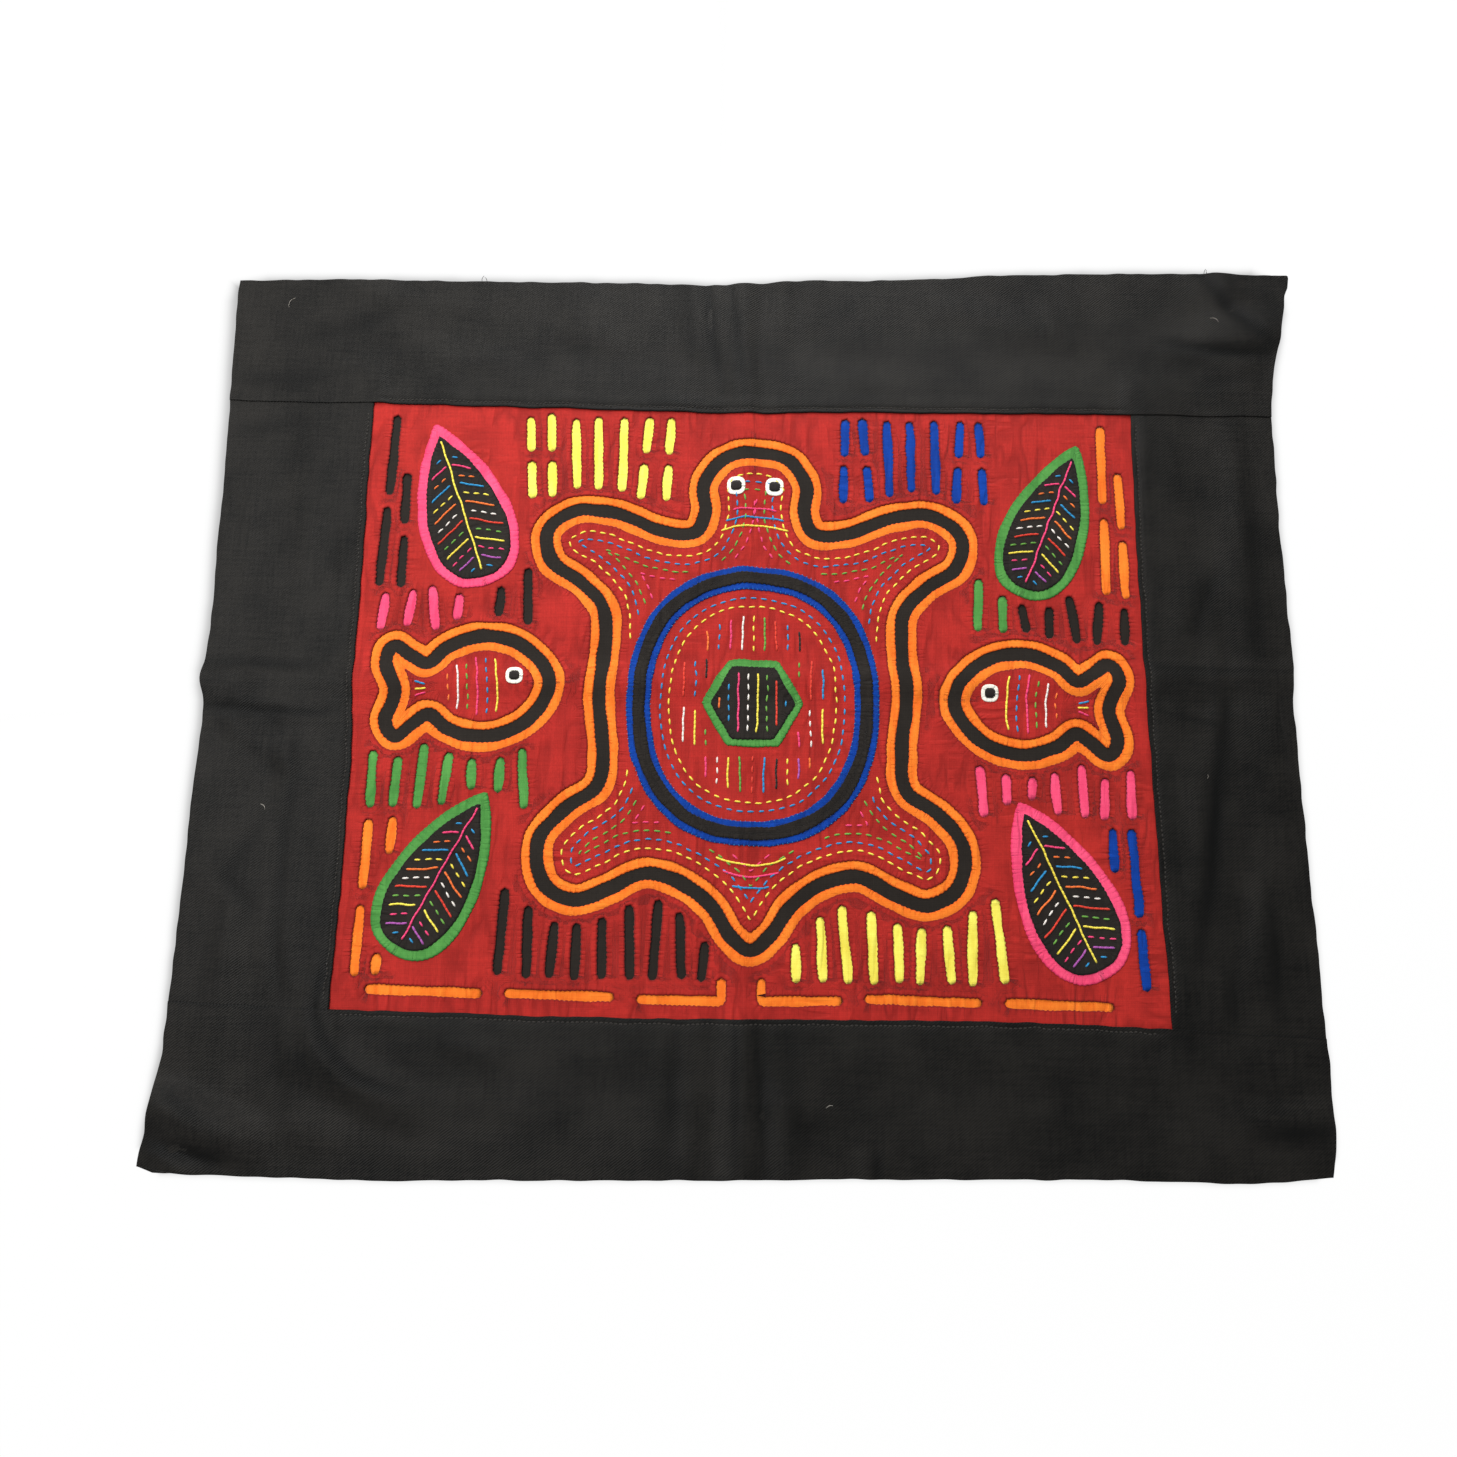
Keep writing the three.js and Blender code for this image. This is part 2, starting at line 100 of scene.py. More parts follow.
@dataclass(frozen=True)
class Seams:
    """Widths of the laps, channels and bands that all the pieces share."""

    lap: float = 9.0
    rest: float = 1.5  # the upper cloth stays level this far past the lower cloth's edge
    fall: float = 26.0  # and comes down over this length
    climb_from: float = -7.0  # a long strip climbs onto a side strip from here
    climb_to: float = -2.5
    turned: float = 8.0  # width of the turned-under margin of the border
    stitch_in: float = 2.7  # the topstitching's distance from the border's inner edge
    groove: float = 0.3  # how deep the topstitching pulls the cloth in
    groove_width: float = 0.75
    channel: float = 7.0  # black, between two orange bands
    band: float = 4.5
    under: float = 1.6  # how far the orange runs on under the red


SEAMS = Seams()


# Small functions on whole arrays.


def smoothstep(value: Array, low: float, high: float) -> Array:
    """Rises from 0 at low to 1 at high as 3 t^2 - 2 t^3.

    Args:
        value: Where it is taken.
        low: Below this it is 0.
        high: Above this it is 1.

    Returns:
        The share at each value.
    """
    share = np.clip((value - low) / (high - low), 0.0, 1.0)
    return share * share * (3.0 - 2.0 * share)


def waves(x: Array, y: Array, seed: int, longest: float, shortest: float) -> Array:
    """Uneven waves: a sum of sines in seeded directions, with phases drawn once.

    Args:
        x: First coordinate.
        y: Second coordinate.
        seed: Fixes the draw.
        longest: The longest wavelength.
        shortest: The shortest wavelength.

    Returns:
        Heights that mostly stay between -1 and 1.
    """
    draw = np.random.default_rng(seed)
    count = 18
    length = shortest * (longest / shortest) ** draw.random(count)
    turn = draw.random(count) * 2.0 * np.pi
    phase = draw.random(count) * 2.0 * np.pi
    run = np.multiply.outer(x, np.cos(turn) / length)
    rise = np.multiply.outer(y, np.sin(turn) / length)
    return np.sin(2.0 * np.pi * (run + rise) + phase).sum(-1) / np.sqrt(count)


def wavering(along: Array, seed: int, longest: float, shortest: float) -> Array:
    """Uneven waves along a line."""
    return waves(along, np.full_like(along, seed * 3.7), seed, longest, shortest)


def lengths_along(path: Array, closed: bool) -> Array:
    """Distance of each point from the path's start, with the way back to it if closed."""
    line = np.vstack([path, path[:1]]) if closed else path
    steps = np.linalg.norm(np.diff(line, axis=0), axis=1)
    return np.concatenate([[0.0], np.cumsum(steps)])


def points_at(path: Array, where: Array, closed: bool) -> Array:
    """Points of a path at distances along it."""
    line = np.vstack([path, path[:1]]) if closed else path
    along = lengths_along(path, closed)
    return np.stack([np.interp(where, along, line[:, i]) for i in (0, 1)], -1)


def evenly(loop: Array, spacing: float) -> Array:
    """The same loop with its points evenly spaced."""
    length = lengths_along(loop, True)[-1]
    count = max(12, round(length / spacing))
    return points_at(loop, np.arange(count) * length / count, True)


def smooth_loop(points: Sequence[Point], steps: int = 16) -> Array:
    """A closed Catmull-Rom curve through the points.

    Between two points it is the cubic whose slope at each is half the chord between that
    point's neighbours.
    """
    p1 = np.array(points, float)
    p0, p2, p3 = np.roll(p1, 1, 0), np.roll(p1, -1, 0), np.roll(p1, -2, 0)
    t = (np.arange(steps) / steps)[None, :, None]
    p0, p1, p2, p3 = (p[:, None, :] for p in (p0, p1, p2, p3))
    curve = 0.5 * (
        2.0 * p1
        + (p2 - p0) * t
        + (2.0 * p0 - 5.0 * p1 + 4.0 * p2 - p3) * t**2
        + (3.0 * p1 - p0 - 3.0 * p2 + p3) * t**3
    )
    return anticlockwise(curve.reshape(-1, 2))


def loop_area(loop: Array) -> float:
    """Signed area of a loop, positive if it runs anticlockwise."""
    x, y = loop.T
    return float(0.5 * (x * np.roll(y, -1) - y * np.roll(x, -1)).sum())


def anticlockwise(loop: Array) -> Array:
    """The loop, turned round if it ran clockwise."""
    return loop if loop_area(loop) > 0 else loop[::-1]


def outward(loop: Array) -> Array:
    """Unit normals of an anticlockwise loop, out of what it encloses."""
    run = np.roll(loop, -1, 0) - np.roll(loop, 1, 0)
    run = run / (np.linalg.norm(run, axis=1, keepdims=True) + TINY)
    return np.stack([run[:, 1], -run[:, 0]], -1)


def directions(path: Array) -> tuple[Array, Array]:
    """Unit vectors along an open path, and to its left."""
    run = np.gradient(path, axis=0)
    run = run / (np.linalg.norm(run, axis=1, keepdims=True) + TINY)
    return run, np.stack([-run[:, 1], run[:, 0]], -1)


def nearest_of(points: Array, lines: Array) -> tuple[Array, Array]:
    """For each point, the distance to the nearest of the lines' points, and its number."""
    found = []
    for block in np.array_split(points, max(1, len(points) // 800)):
        squares = ((block[:, None] - lines[None]) ** 2).sum(-1)
        which = squares.argmin(1)
        found.append((np.sqrt(squares[np.arange(len(block)), which]), which))
    return tuple(np.concatenate(part) for part in zip(*found))


def nearest(points: Array, lines: Array) -> Array:
    """Distance of each point to the nearest of the lines' points."""
    return nearest_of(points, lines)[0]


def inside(points: Array, loop: Array) -> Array:
    """Whether each point is in the loop: a level line from it crosses the loop an odd number
    of times."""
    x, y = points[:, 0, None], points[:, 1, None]
    (ax, ay), (bx, by) = loop.T, np.roll(loop, -1, 0).T
    spans = (ay > y) != (by > y)
    rise = np.where(by == ay, TINY, by - ay)
    return (spans & (x < ax + (bx - ax) * (y - ay) / rise)).sum(1) % 2 == 1


def moved_out(loop: Array, distance: float, spacing: float = EDGE_SPACING) -> Array:
    """The loop moved out along its normals (in, if negative), less the points that come
    nearer to it than the distance, which is where it would cross itself."""
    dense = evenly(loop, 0.7)
    moved = dense + outward(dense) * distance
    kept = moved[nearest(moved, dense) > abs(distance) - 0.1]
    return evenly(kept, spacing)


def hand_sewn(loop: Array, seed: int, depth: float = 0.2, drift: float = 0.28) -> Array:
    """A turned edge as a hand sews it: it drifts a little, and each stitch pulls it in.

    Args:
        loop: The edge as drawn.
        seed: Fixes the drift.
        depth: How far a stitch pulls it in.
        drift: How far it strays.

    Returns:
        The loop moved along its normals by drift times uneven waves, plus depth times a
        sine of the stitch pitch.
    """
    along = lengths_along(loop, True)[:-1]
    pull = depth * np.sin(2.0 * np.pi * along / STITCH_PITCH + wavering(along, seed, 30, 12))
    stray = drift * wavering(along, seed + 1, 55.0, 9.0)
    total = lengths_along(loop, True)[-1]
    join = smoothstep(along, 0.0, 6.0) * smoothstep(total - along, 0.0, 6.0)
    return loop + outward(loop) * ((pull + stray) * join)[:, None]


# How the cloth lies.


@dataclass(frozen=True)
class Ridge:
    """A low rounded fold from one point to another, which dies away at both ends."""

    start: Point
    end: Point
    rise: float
    reach: float
    fade: float

    def height(self, x: Array, y: Array) -> Array:
        """Rise times (1 - (across / reach)^2)^2, times a smooth step over fade at each end."""
        start, end = np.array(self.start), np.array(self.end)
        length = float(np.linalg.norm(end - start))
        run = (end - start) / length
        dx, dy = x - start[0], y - start[1]
        across = np.abs(dx * run[1] - dy * run[0]) / self.reach
        along = dx * run[0] + dy * run[1]
        ends = smoothstep(np.minimum(along, length - along), 0.0, self.fade)
        return self.rise * np.clip(1.0 - across**2, 0.0, 1.0) ** 2 * ends


RIDGES = (
    Ridge((-8, 262), (-4, -262), 1.7, 12, 6),  # stored fold, upright
    Ridge((-306, 5), (206, 12.6), 1.6, 12, 14),  # stored fold, level
    Ridge((186, 12.3), (306, 17), 0.8, 12, 14),
    Ridge((-312, 7), (-214, -10), 1.8, 14, 34),  # its pull at the left edge
    Ridge((214, 9), (312, 20), 0.9, 13, 30),  # its slant on the right strip
    Ridge((-40, 264), (-31, 178), 1.1, 11, 26),  # ripples beside the upright fold
    Ridge((-24, 264), (-20, 186), 0.8, 7, 22),
    Ridge((16, 264), (9, 180), 0.9, 10, 26),
    Ridge((34, 264), (30, 206), 0.6, 9, 22),
    Ridge((18, -184), (22, -262), 1.0, 12, 24),
    Ridge((-26, -180), (-30, -262), 0.7, 10, 24),
    Ridge((322, 224), (226, 211), 2.4, 17, 40),  # top right corner
    Ridge((262, 270), (270, 232), 1.1, 12, 16),
    Ridge((236, 214), (286, 182), 0.7, 11, 18),
    Ridge((-318, -200), (-226, -233), 3.8, 16, 34),  # bottom left corner
    Ridge((-236, -178), (-146, -220), 2.2, 16, 34),
    Ridge((-300, -224), (-262, -250), 1.6, 9, 16),
    Ridge((262, 150), (268, -146), 1.3, 17, 60),  # right strip's swell
    Ridge((246, 60), (243, -60), 0.7, 8, 34),
    Ridge((276, 30), (273, -110), 0.8, 8, 34),
    Ridge((306, -206), (222, -213), 1.6, 14, 32),
    Ridge((-262, 146), (-254, 40), 1.0, 18, 40),  # left strip's swell
    Ridge((-288, -8), (-226, -46), 0.8, 10, 24),
    Ridge((-216, 204), (-120, 188), 0.6, 13, 34),
    Ridge((80, 232), (190, 218), 0.6, 13, 34),
)


@dataclass(frozen=True)
class Crease:
    """A sharp crease along a bent line, between two low swells."""

    points: Rows
    rise: float = 0.5  # of the swells
    reach: float = 4.0  # from the line to their tops
    dark: float = 0.7  # how much of the light it holds back

    def beside(self, x: Array, y: Array) -> tuple[Array, Array]:
        """Distance to the line over the reach, and a strength that fades at its ends."""
        path = np.array(self.points, float)
        path = points_at(path, np.arange(0.0, lengths_along(path, False)[-1], 2.0), False)
        flat = np.stack([x.ravel(), y.ravel()], -1)
        margin = 4.0 * self.reach
        near = ((flat > path.min(0) - margin) & (flat < path.max(0) + margin)).all(1)
        away, strength = np.full(len(flat), 9.0), np.zeros(len(flat))
        if near.any():
            distance, which = nearest_of(flat[near], path)
            away[near] = distance / self.reach
            strength[near] = np.sqrt(np.sin(np.pi * (which + 0.5) / len(path)))
        return away.reshape(x.shape), strength.reshape(x.shape)

    def height(self, x: Array, y: Array) -> Array:
        """Rise times t exp(0.5 - 0.5 t^2) for the distance t, which is sharp at the line."""
        away, strength = self.beside(x, y)
        return self.rise * strength * away * np.exp(0.5 - 0.5 * away**2)


CREASES = (
    Crease(((-42, 239), (-38, 213), (-36, 191)), 0.3, 4, 0.4),  # beside the upright fold
    Crease(((-29, 246), (-25, 207), (-19, 172)), 0.7, 4, 0.8),
    Crease(((-15, 246), (-11, 207), (-6, 171)), 0.6, 3.5, 0.7),
    Crease(((-261, 201), (-232, 209), (-202, 221)), 0.5, 7, 0.4),  # top strip
    Crease(((-290, 178), (-254, 178), (-226, 183)), 0.5, 7, 0.5),
    Crease(((168, 235), (177, 213)), 0.4, 5, 0.3),
    Crease(((225, 210), (255, 205), (290, 204)), 0.8, 5, 0.8),  # top right corner
    Crease(((251, 256), (269, 230), (294, 207)), 0.8, 6, 0.8),
    Crease(((250, 184), (286, 192)), 0.4, 6, 0.3),
    Crease(((-219, -158), (-211, -178), (-195, -195), (-169, -204)), 1.0, 4.5, 1.0),
    Crease(((-288, -203), (-277, -210), (-264, -219)), 0.6, 5, 0.7),  # bottom left corner
    Crease(((-298, -226), (-280, -232), (-255, -236)), 0.8, 6, 0.9),
    Crease(((-241, -120), (-234, -161)), 0.4, 6, 0.3),
    Crease(((-236, -172), (-228, -214)), 0.3, 6, 0.3),
    Crease(((-36, -168), (-38, -242)), 0.4, 6, 0.5),  # bottom strip
    Crease(((-7, -156), (-6, -243)), 0.5, 3.5, 0.7),
    Crease(((4, -168), (10, -243)), 0.5, 5, 0.6),
    Crease(((20, -170), (26, -240)), 0.3, 6, 0.4),
    Crease(((62, -224), (64, -244)), 0.5, 4, 0.8),
    Crease(((250, -216), (288, -215)), 0.7, 6, 0.6),
    Crease(((204, 20), (247, 19), (290, 19)), 0.3, 3, 0.6),  # right strip
    Crease(((215, -5), (244, -10), (257, -8)), 0.2, 2.5, 0.6),
    Crease(((251, 8), (242, -43), (235, -97), (225, -137)), 0.7, 7, 0.8),
    Crease(((272, 123), (268, 24)), 0.5, 8, 0.5),
    Crease(((248, 73), (234, 36)), 0.5, 6, 0.4),
    Crease(((265, -97), (265, -165)), 0.4, 6, 0.6),
    Crease(((243, -133), (242, -166)), 0.4, 5, 0.5),
    Crease(((-293, 15), (-266, 15), (-227, 13)), 0.6, 5, 0.7),  # left strip
    Crease(((-290, -9), (-264, -11), (-226, -12), (-212, -6)), 0.6, 4, 0.8),
    Crease(((-249, -66), (-268, -99), (-253, -113), (-260, -131)), 0.4, 6, 0.5),
    Crease(((-239, -6), (-236, -40), (-240, -75), (-239, -134), (-234, -159)), 0.4, 5, 0.5),
    Crease(((-213, -138), (-217, -168)), 0.6, 4, 0.8),
    Crease(((-290, 147), (-246, 153)), 0.5, 7, 0.4),
)


def crease_shade(x: Array, y: Array) -> Array:
    """How much of the light the creases hold back: the most of dark exp(-2 t^2), up to 1."""
    beside = [(1.35 * crease.dark, *crease.beside(x, y)) for crease in CREASES]
    held = np.max([dark * s * np.exp(-2.0 * away**2) for dark, away, s in beside], axis=0)
    return np.minimum(held, 1.0)


def cloth_lie(x: Array, y: Array) -> Array:
    """Height of the folds: the root of the ridges' squared sum, the creases' swells, and a
    slow swell of the whole cloth."""
    folds = np.sqrt(sum(ridge.height(x, y) ** 2 for ridge in RIDGES))
    folds = folds + sum(crease.height(x, y) for crease in CREASES)
    swell = 0.1 * (1.0 + 0.8 * waves(x, y, 11, 150.0, 45.0))
    in_x, in_y = PICTURE_HALF[0] - np.abs(x), PICTURE_HALF[1] - np.abs(y)
    window = smoothstep(in_x, 0.0, 14.0) * smoothstep(in_y, 0.0, 14.0)
    pucker = 0.1 * (1.0 + waves(x, y * 0.45, 12, 34.0, 14.0)) * window
    level = smoothstep(np.abs(y), 160.0, 185.0)
    streaks = level * waves(x * 0.45, y + 0.12 * x, 13, 60.0, 26.0)
    streaks = streaks + (1.0 - level) * waves(x, y * 0.35, 14, 52.0, 22.0)
    crease = 0.42 * np.clip(streaks, 0.0, None) ** 1.5 * (1.0 - window)
    return folds + np.clip(swell, 0.0, None) + np.clip(pucker, 0.0, None) + crease


# Materials.


def linear(hex_colour: str) -> tuple[float, float, float, float]:
    """An sRGB hex colour as linear light, with alpha 1."""
    parts = [int(hex_colour[i : i + 2], 16) / 255.0 for i in (0, 2, 4)]
    lit = [p / 12.92 if p <= 0.04045 else ((p + 0.055) / 1.055) ** 2.4 for p in parts]
    return (lit[0], lit[1], lit[2], 1.0)


def add_node(
    tree: bpy.types.NodeTree,
    kind: str,
    inputs: Sequence[object] | dict[int | str, object],
    output: int | str = 0,
    **settings: object,
) -> Socket | None:
    """Adds a node with its settings and its links.

    Args:
        tree: Where it goes.
        kind: Blender's name for the node, without ShaderNode.
        inputs: A value or a socket to link for each input, in order or by name or number.
        output: Which output is wanted.
        settings: Attributes of the node.

    Returns:
        That output, if the node has outputs.
    """
    node = tree.nodes.new(f"ShaderNode{kind}")
    for key, value in settings.items():
        setattr(node, key, value)
    for key, value in inputs.items() if isinstance(inputs, dict) else enumerate(inputs):
        if isinstance(value, Socket):
            tree.links.new(value, node.inputs[key])
        else:
            node.inputs[key].default_value = value
    return node.outputs[output] if node.outputs else None


def blank_material(name: str) -> tuple[bpy.types.Material, Adder]:
    """A material without nodes, and the function that adds nodes to it."""
    material = bpy.data.materials.new(name)
    material.use_nodes = True
    material.node_tree.nodes.clear()
    return material, partial(add_node, material.node_tree)


def cloud(add: Adder, where: Socket, stretch: Triple, size_mm: float, detail: float) -> Socket:
    """Cloudy unevenness of a size, drawn out along an axis whose stretch is under 1."""
    place = add("Mapping", {"Vector": where, "Scale": stretch})
    inputs = {"Vector": place, "Scale": 1.0 / (size_mm * MM), "Detail": detail}
    return add("TexNoise", inputs, "Fac")


COTTON_IOR = 1.45
WAVE_REPEAT = 0.314  # the wave texture repeats each time after this over its scale
EVEN = (1.0, 1.0, 1.0)
DYE_CLOUDS = (  # stretch, size in millimetres, detail and weight of each cloud in the dye
    (EVEN, 34.0, 2.0, 1.0),
    (EVEN, 1.6, 3.0, 0.5),
    ((1.0, 0.06, 1.0), 1.3, 1.0, 0.45),  # thick and thin threads of the warp
    ((0.06, 1.0, 1.0), 1.3, 1.0, 0.45),  # and of the weft
)
WRINKLES = (  # stretch, size of the patches, and the least cloud that gives one
    ((1.0, 0.22, 1.0), 26.0, 0.38),
    ((0.2, 1.0, 1.0), 37.0, 0.52),
)


class Weave(Enum):
    """How a cotton is woven."""

    PLAIN = "plain"
    TWILL = "twill"


@dataclass(frozen=True)
class Cotton:
    """A dyed cotton cloth or thread.

    Thread spacings are drawn coarser than the real 0.3 mm, so that the weave shows at all
    where a pixel covers half a millimetre.
    """

    name: str
    slot: str
    face: str  # hex colour of the cloth at its lightest, on the threads' tops
    deep: str  # hex colour of the darker dye, and of the painted shade between the threads, along turned edges and in creases and puckers
    weave: Weave = Weave.PLAIN
    thread_mm: float = 0.9
    relief_mm: float = 0.06
    sheen: float = 0.1
    roughness: float = 0.72
    gloss: float = 0.14
    darkest: float = 0.45  # share of the face colour where the dye is darkest and the painted shade between the threads deepest
    edged: bool = False  # its mesh says how far a point is in from the edge, and a painted shade darkens it along its turned edges
    puckered: bool = False  # and its edges are pulled in by hand stitches; painted shade darkens its puckers and thin creases
    creased: bool = False  # it also says how much of the light a crease holds back

    def material(self) -> bpy.types.Material:
        """The cloth's material, made once."""
        known = bpy.data.materials.get(self.name)
        return known or self.make()

    def make(self) -> bpy.types.Material:
        """Dyed colour with slow and fine unevenness, painted shade between the threads, along
        turned edges, in puckers and where creases hold back light, the weave's relief, and a soft
        nap.
        """
        material, add = blank_material(self.name)
        where = add("TexCoord", (), "Object")
        weave = self.weave_height(add, where)
        share = self.dye_and_weave_shade_share(add, where, weave)
        reliefs = [(weave, self.relief_mm)]
        if self.puckered:
            # painted shade in the bottoms of the puckers and creases, as well as their bumps
            for relief, depth_mm, dark in (
                (self.gathers(add), 0.3, 0.36),
                (self.creases(add, where), 0.42, 0.52),
            ):
                shade = add("Math", (relief, dark, 1.0 - dark), operation="MULTIPLY_ADD")
                share = add("Math", (share, shade), operation="MULTIPLY")
                reliefs.append((relief, depth_mm))
        if self.edged:
            edge_in = add("Attribute", (), "Fac", attribute_name="edge_in")
            rim = add("MapRange", (edge_in, 0.1, 1.2, 0.0, 1.0))  # painted shade, dark where the edge turns down
            share = add("Math", (share, rim), operation="MULTIPLY")
        if self.creased:
            held = add("Attribute", (), "Fac", attribute_name="light_held")
            lit = add("Math", (1.0, held), operation="SUBTRACT")
            share = add("Math", (share, lit), operation="MULTIPLY")
        colours = {0: share, 6: linear(self.deep), 7: linear(self.face)}
        normal: dict[str, Socket] = {}
        for relief, depth_mm in reversed(reliefs):
            height = {"Strength": 1.0, "Distance": depth_mm * MM, "Height": relief}
            normal = {"Normal": add("Bump", {**height, **normal})}
        look = {
            "Base Color": add("Mix", colours, 2, data_type="RGBA"),
            "Roughness": self.roughness,
            "IOR": COTTON_IOR,
            "Specular IOR Level": self.gloss,
            "Sheen Weight": self.sheen,
            "Sheen Roughness": 0.5,
            **normal,
        }
        add("OutputMaterial", {"Surface": add("BsdfPrincipled", look)})
        return material

    def dye_and_weave_shade_share(self, add: Adder, where: Socket, weave: Socket) -> Socket:
        """How much of the face colour shows: the dye's clouds, and painted shade between the
        threads from the weave's relief.
        """
        mixed = add("Math", (weave, 0.25), operation="MULTIPLY")
        for stretch, size_mm, detail, weight in DYE_CLOUDS:
            part = cloud(add, where, stretch, size_mm, detail)
            mixed = add("Math", (part, weight, mixed), operation="MULTIPLY_ADD")
        return add("MapRange", (mixed, 0.95, 1.6, self.darkest, 1.0))

    @staticmethod
    def creases(add: Adder, where: Socket) -> Socket:
        """Thin upright and level creases, 0 at their bottom: they follow the middle level of
        a noise that is drawn out along them, in the patches where a slower noise is high."""
        lowest: Socket | float = 1.0
        for stretch, patch_mm, least in WRINKLES:
            level = cloud(add, where, stretch, 7.0, 1.0)
            above = add("Math", (level, 0.5), operation="SUBTRACT")
            away = add("Math", (above,), operation="ABSOLUTE")
            line = add("MapRange", (away, 0.0, 0.13, 0.0, 1.0))
            patches = cloud(add, where, EVEN, patch_mm, 1.0)
            smooth = add("MapRange", (patches, least, least + 0.2, 1.0, 0.0))
            crease = add("Math", (line, smooth), operation="MAXIMUM")
            lowest = add("Math", (lowest, crease), operation="MINIMUM")
        return lowest

    @staticmethod
    def gathers(add: Adder) -> Socket:
        """Puckers square to a sewn edge, 0 at their bottom.

        They are the size of a sine of the distance along the edge, uneven in pitch and
        strength, and die away over the distance in from it.
        """
        along = add("Attribute", (), "Fac", attribute_name="edge_along")
        edge_in = add("Attribute", (), "Fac", attribute_name="edge_in")
        inputs = {"W": along, "Scale": 0.12, "Detail": 2.0}
        stray = add("TexNoise", inputs, "Fac", noise_dimensions="1D")
        even = add("Math", (along, np.pi / PUCKER_PITCH), operation="MULTIPLY")
        phase = add("Math", (stray, 9.0, even), operation="MULTIPLY_ADD")
        wave = add("Math", (phase,), operation="SINE")
        size = add("Math", (wave,), operation="ABSOLUTE")
        flat = add("Math", (size, 0.7), operation="POWER")
        hollow = add("Math", (1.0, flat), operation="SUBTRACT")
        near = add("MapRange", (edge_in, 0.5, 6.0, 1.0, 0.0))
        strength = add("MapRange", (stray, 0.35, 0.6, 0.4, 1.0))
        depth = add("Math", (near, strength), operation="MULTIPLY")
        pulled = add("Math", (hollow, depth), operation="MULTIPLY")
        return add("Math", (1.0, pulled), operation="SUBTRACT")

    def weave_height(self, add: Adder, where: Socket) -> Socket:
        """Relief of the threads: two crossed sets of bands, or slanted ones for a twill."""
        threads = {"Scale": WAVE_REPEAT / (self.thread_mm * MM), "Detail Scale": 2.0}
        if self.weave is Weave.TWILL:
            turned = add("Mapping", {"Vector": where, "Rotation": (0.0, 0.0, 0.9)})
            slanted = {**threads, "Vector": turned, "Distortion": 1.5}
            return add("TexWave", slanted, "Fac", bands_direction="X")
        level = {**threads, "Vector": where, "Distortion": 1.0}
        crossed = [add("TexWave", level, "Fac", bands_direction=way) for way in "XY"]
        return add("Math", crossed, operation="MULTIPLY")


def dyed(name: str, slot: str, face: str, deep: str) -> Cotton:
    """A plain-woven cotton whose turned edges are sewn down by hand, which puckers it."""
    return Cotton(name, slot, face, deep, edged=True, puckered=True)


class Dye(Enum):
    """The cottons of the panel, by what they are used for."""

    # Worn black twill: slanted ribs painted a little lighter than the nearly black ground between
    # them, as painted light and shade over the weave's bump.
    BORDER = Cotton(
        "black_twill_cotton",
        "black_cotton",
        "211f1c",
        "070706",
        weave=Weave.TWILL,
        thread_mm=1.1,
        relief_mm=0.1,
        sheen=0.02,
        roughness=0.5,
        gloss=0.14,
        darkest=0.0,
        edged=True,
        creased=True,
    )
    # Plain black cotton: matt, seen only at the bottom of the channels.
    BASE = Cotton("black_base_cotton", "ink_cotton", "28231e", "16120f", sheen=0.03)
    # Plain dyed cottons: full matt colours, with painted shade a little darker between the
    # threads.
    RED = dyed("red_dyed_cotton", "red_cotton", "bb2b24", "781511")
    ORANGE = dyed("orange_dyed_cotton", "orange_cotton", "ff8c2c", "e05c12")
    BLUE = dyed("blue_dyed_cotton", "blue_cotton", "0142a4", "002a76")
    YELLOW = dyed("yellow_dyed_cotton", "yellow_cotton", "fffa6e", "e2c838")
    GREEN = dyed("green_dyed_cotton", "green_cotton", "5a9e4b", "347430")
    PINK = dyed("pink_dyed_cotton", "pink_cotton", "ff5a82", "dc3460")
    WHITE = dyed("undyed_cotton", "white_cotton", "fffdf0", "efe8d8")
    INK = dyed("black_applied_cotton", "ink_cotton", "29241f", "14110f")


def floss(name: str, slot: str, face: str, deep: str) -> Cotton:
    """Embroidery cotton: the same fibre, drawn tighter and a little smoother."""
    return Cotton(
        name, slot, face, deep, thread_mm=0.5, relief_mm=0.03, sheen=0.15, roughness=0.55
    )


class Floss(Enum):
    """Sewing and embroidery threads."""

    BLACK = floss("black_thread", "ink_cotton", "2a2521", "151210")
    WHITE = floss("white_thread", "white_cotton", "f8f2ea", "d0c8ba")
    YELLOW = floss("yellow_thread", "yellow_cotton", "fff05a", "dcb830")
    ORANGE = floss("orange_thread", "orange_cotton", "fa7f38", "cf5420")
    PINK = floss("pink_thread", "pink_cotton", "fa4a80", "c82c5c")
    GREEN = floss("green_thread", "green_cotton", "74b04a", "4c8434")
    BLUE = floss("light_blue_thread", "blue_cotton", "2e96cc", "1a6ea6")
    VIOLET = floss("violet_thread", "pink_cotton", "b45cb0", "86408a")
    RED = floss("red_thread", "red_cotton", "e84430", "b42a20")
    GREY = floss("grey_sewing_thread", "black_cotton", "38342f", "211e1b")
    LINT = floss("pale_lint_thread", "white_cotton", "a09a90", "7a746c")


# Making pieces.


def to_frame(places: Array) -> Array:
    """Millimetres from the picture's middle as metres in the object's frame."""
    return (places - np.array([*OBJECT_MIDDLE, 0.0])) * MM


def outward_faces(places: Array, faces: Array) -> Array:
    """The faces, all turned round if the volume that they enclose comes out negative."""
    a, b, c = (places[faces[:, i]] for i in (0, 1, 2))
    volume = (a * np.cross(b, c)).sum()
    if faces.shape[1] == 4:
        d = places[faces[:, 3]]
        volume += (a * np.cross(c, d)).sum()
    return faces if volume > 0 else faces[:, ::-1]


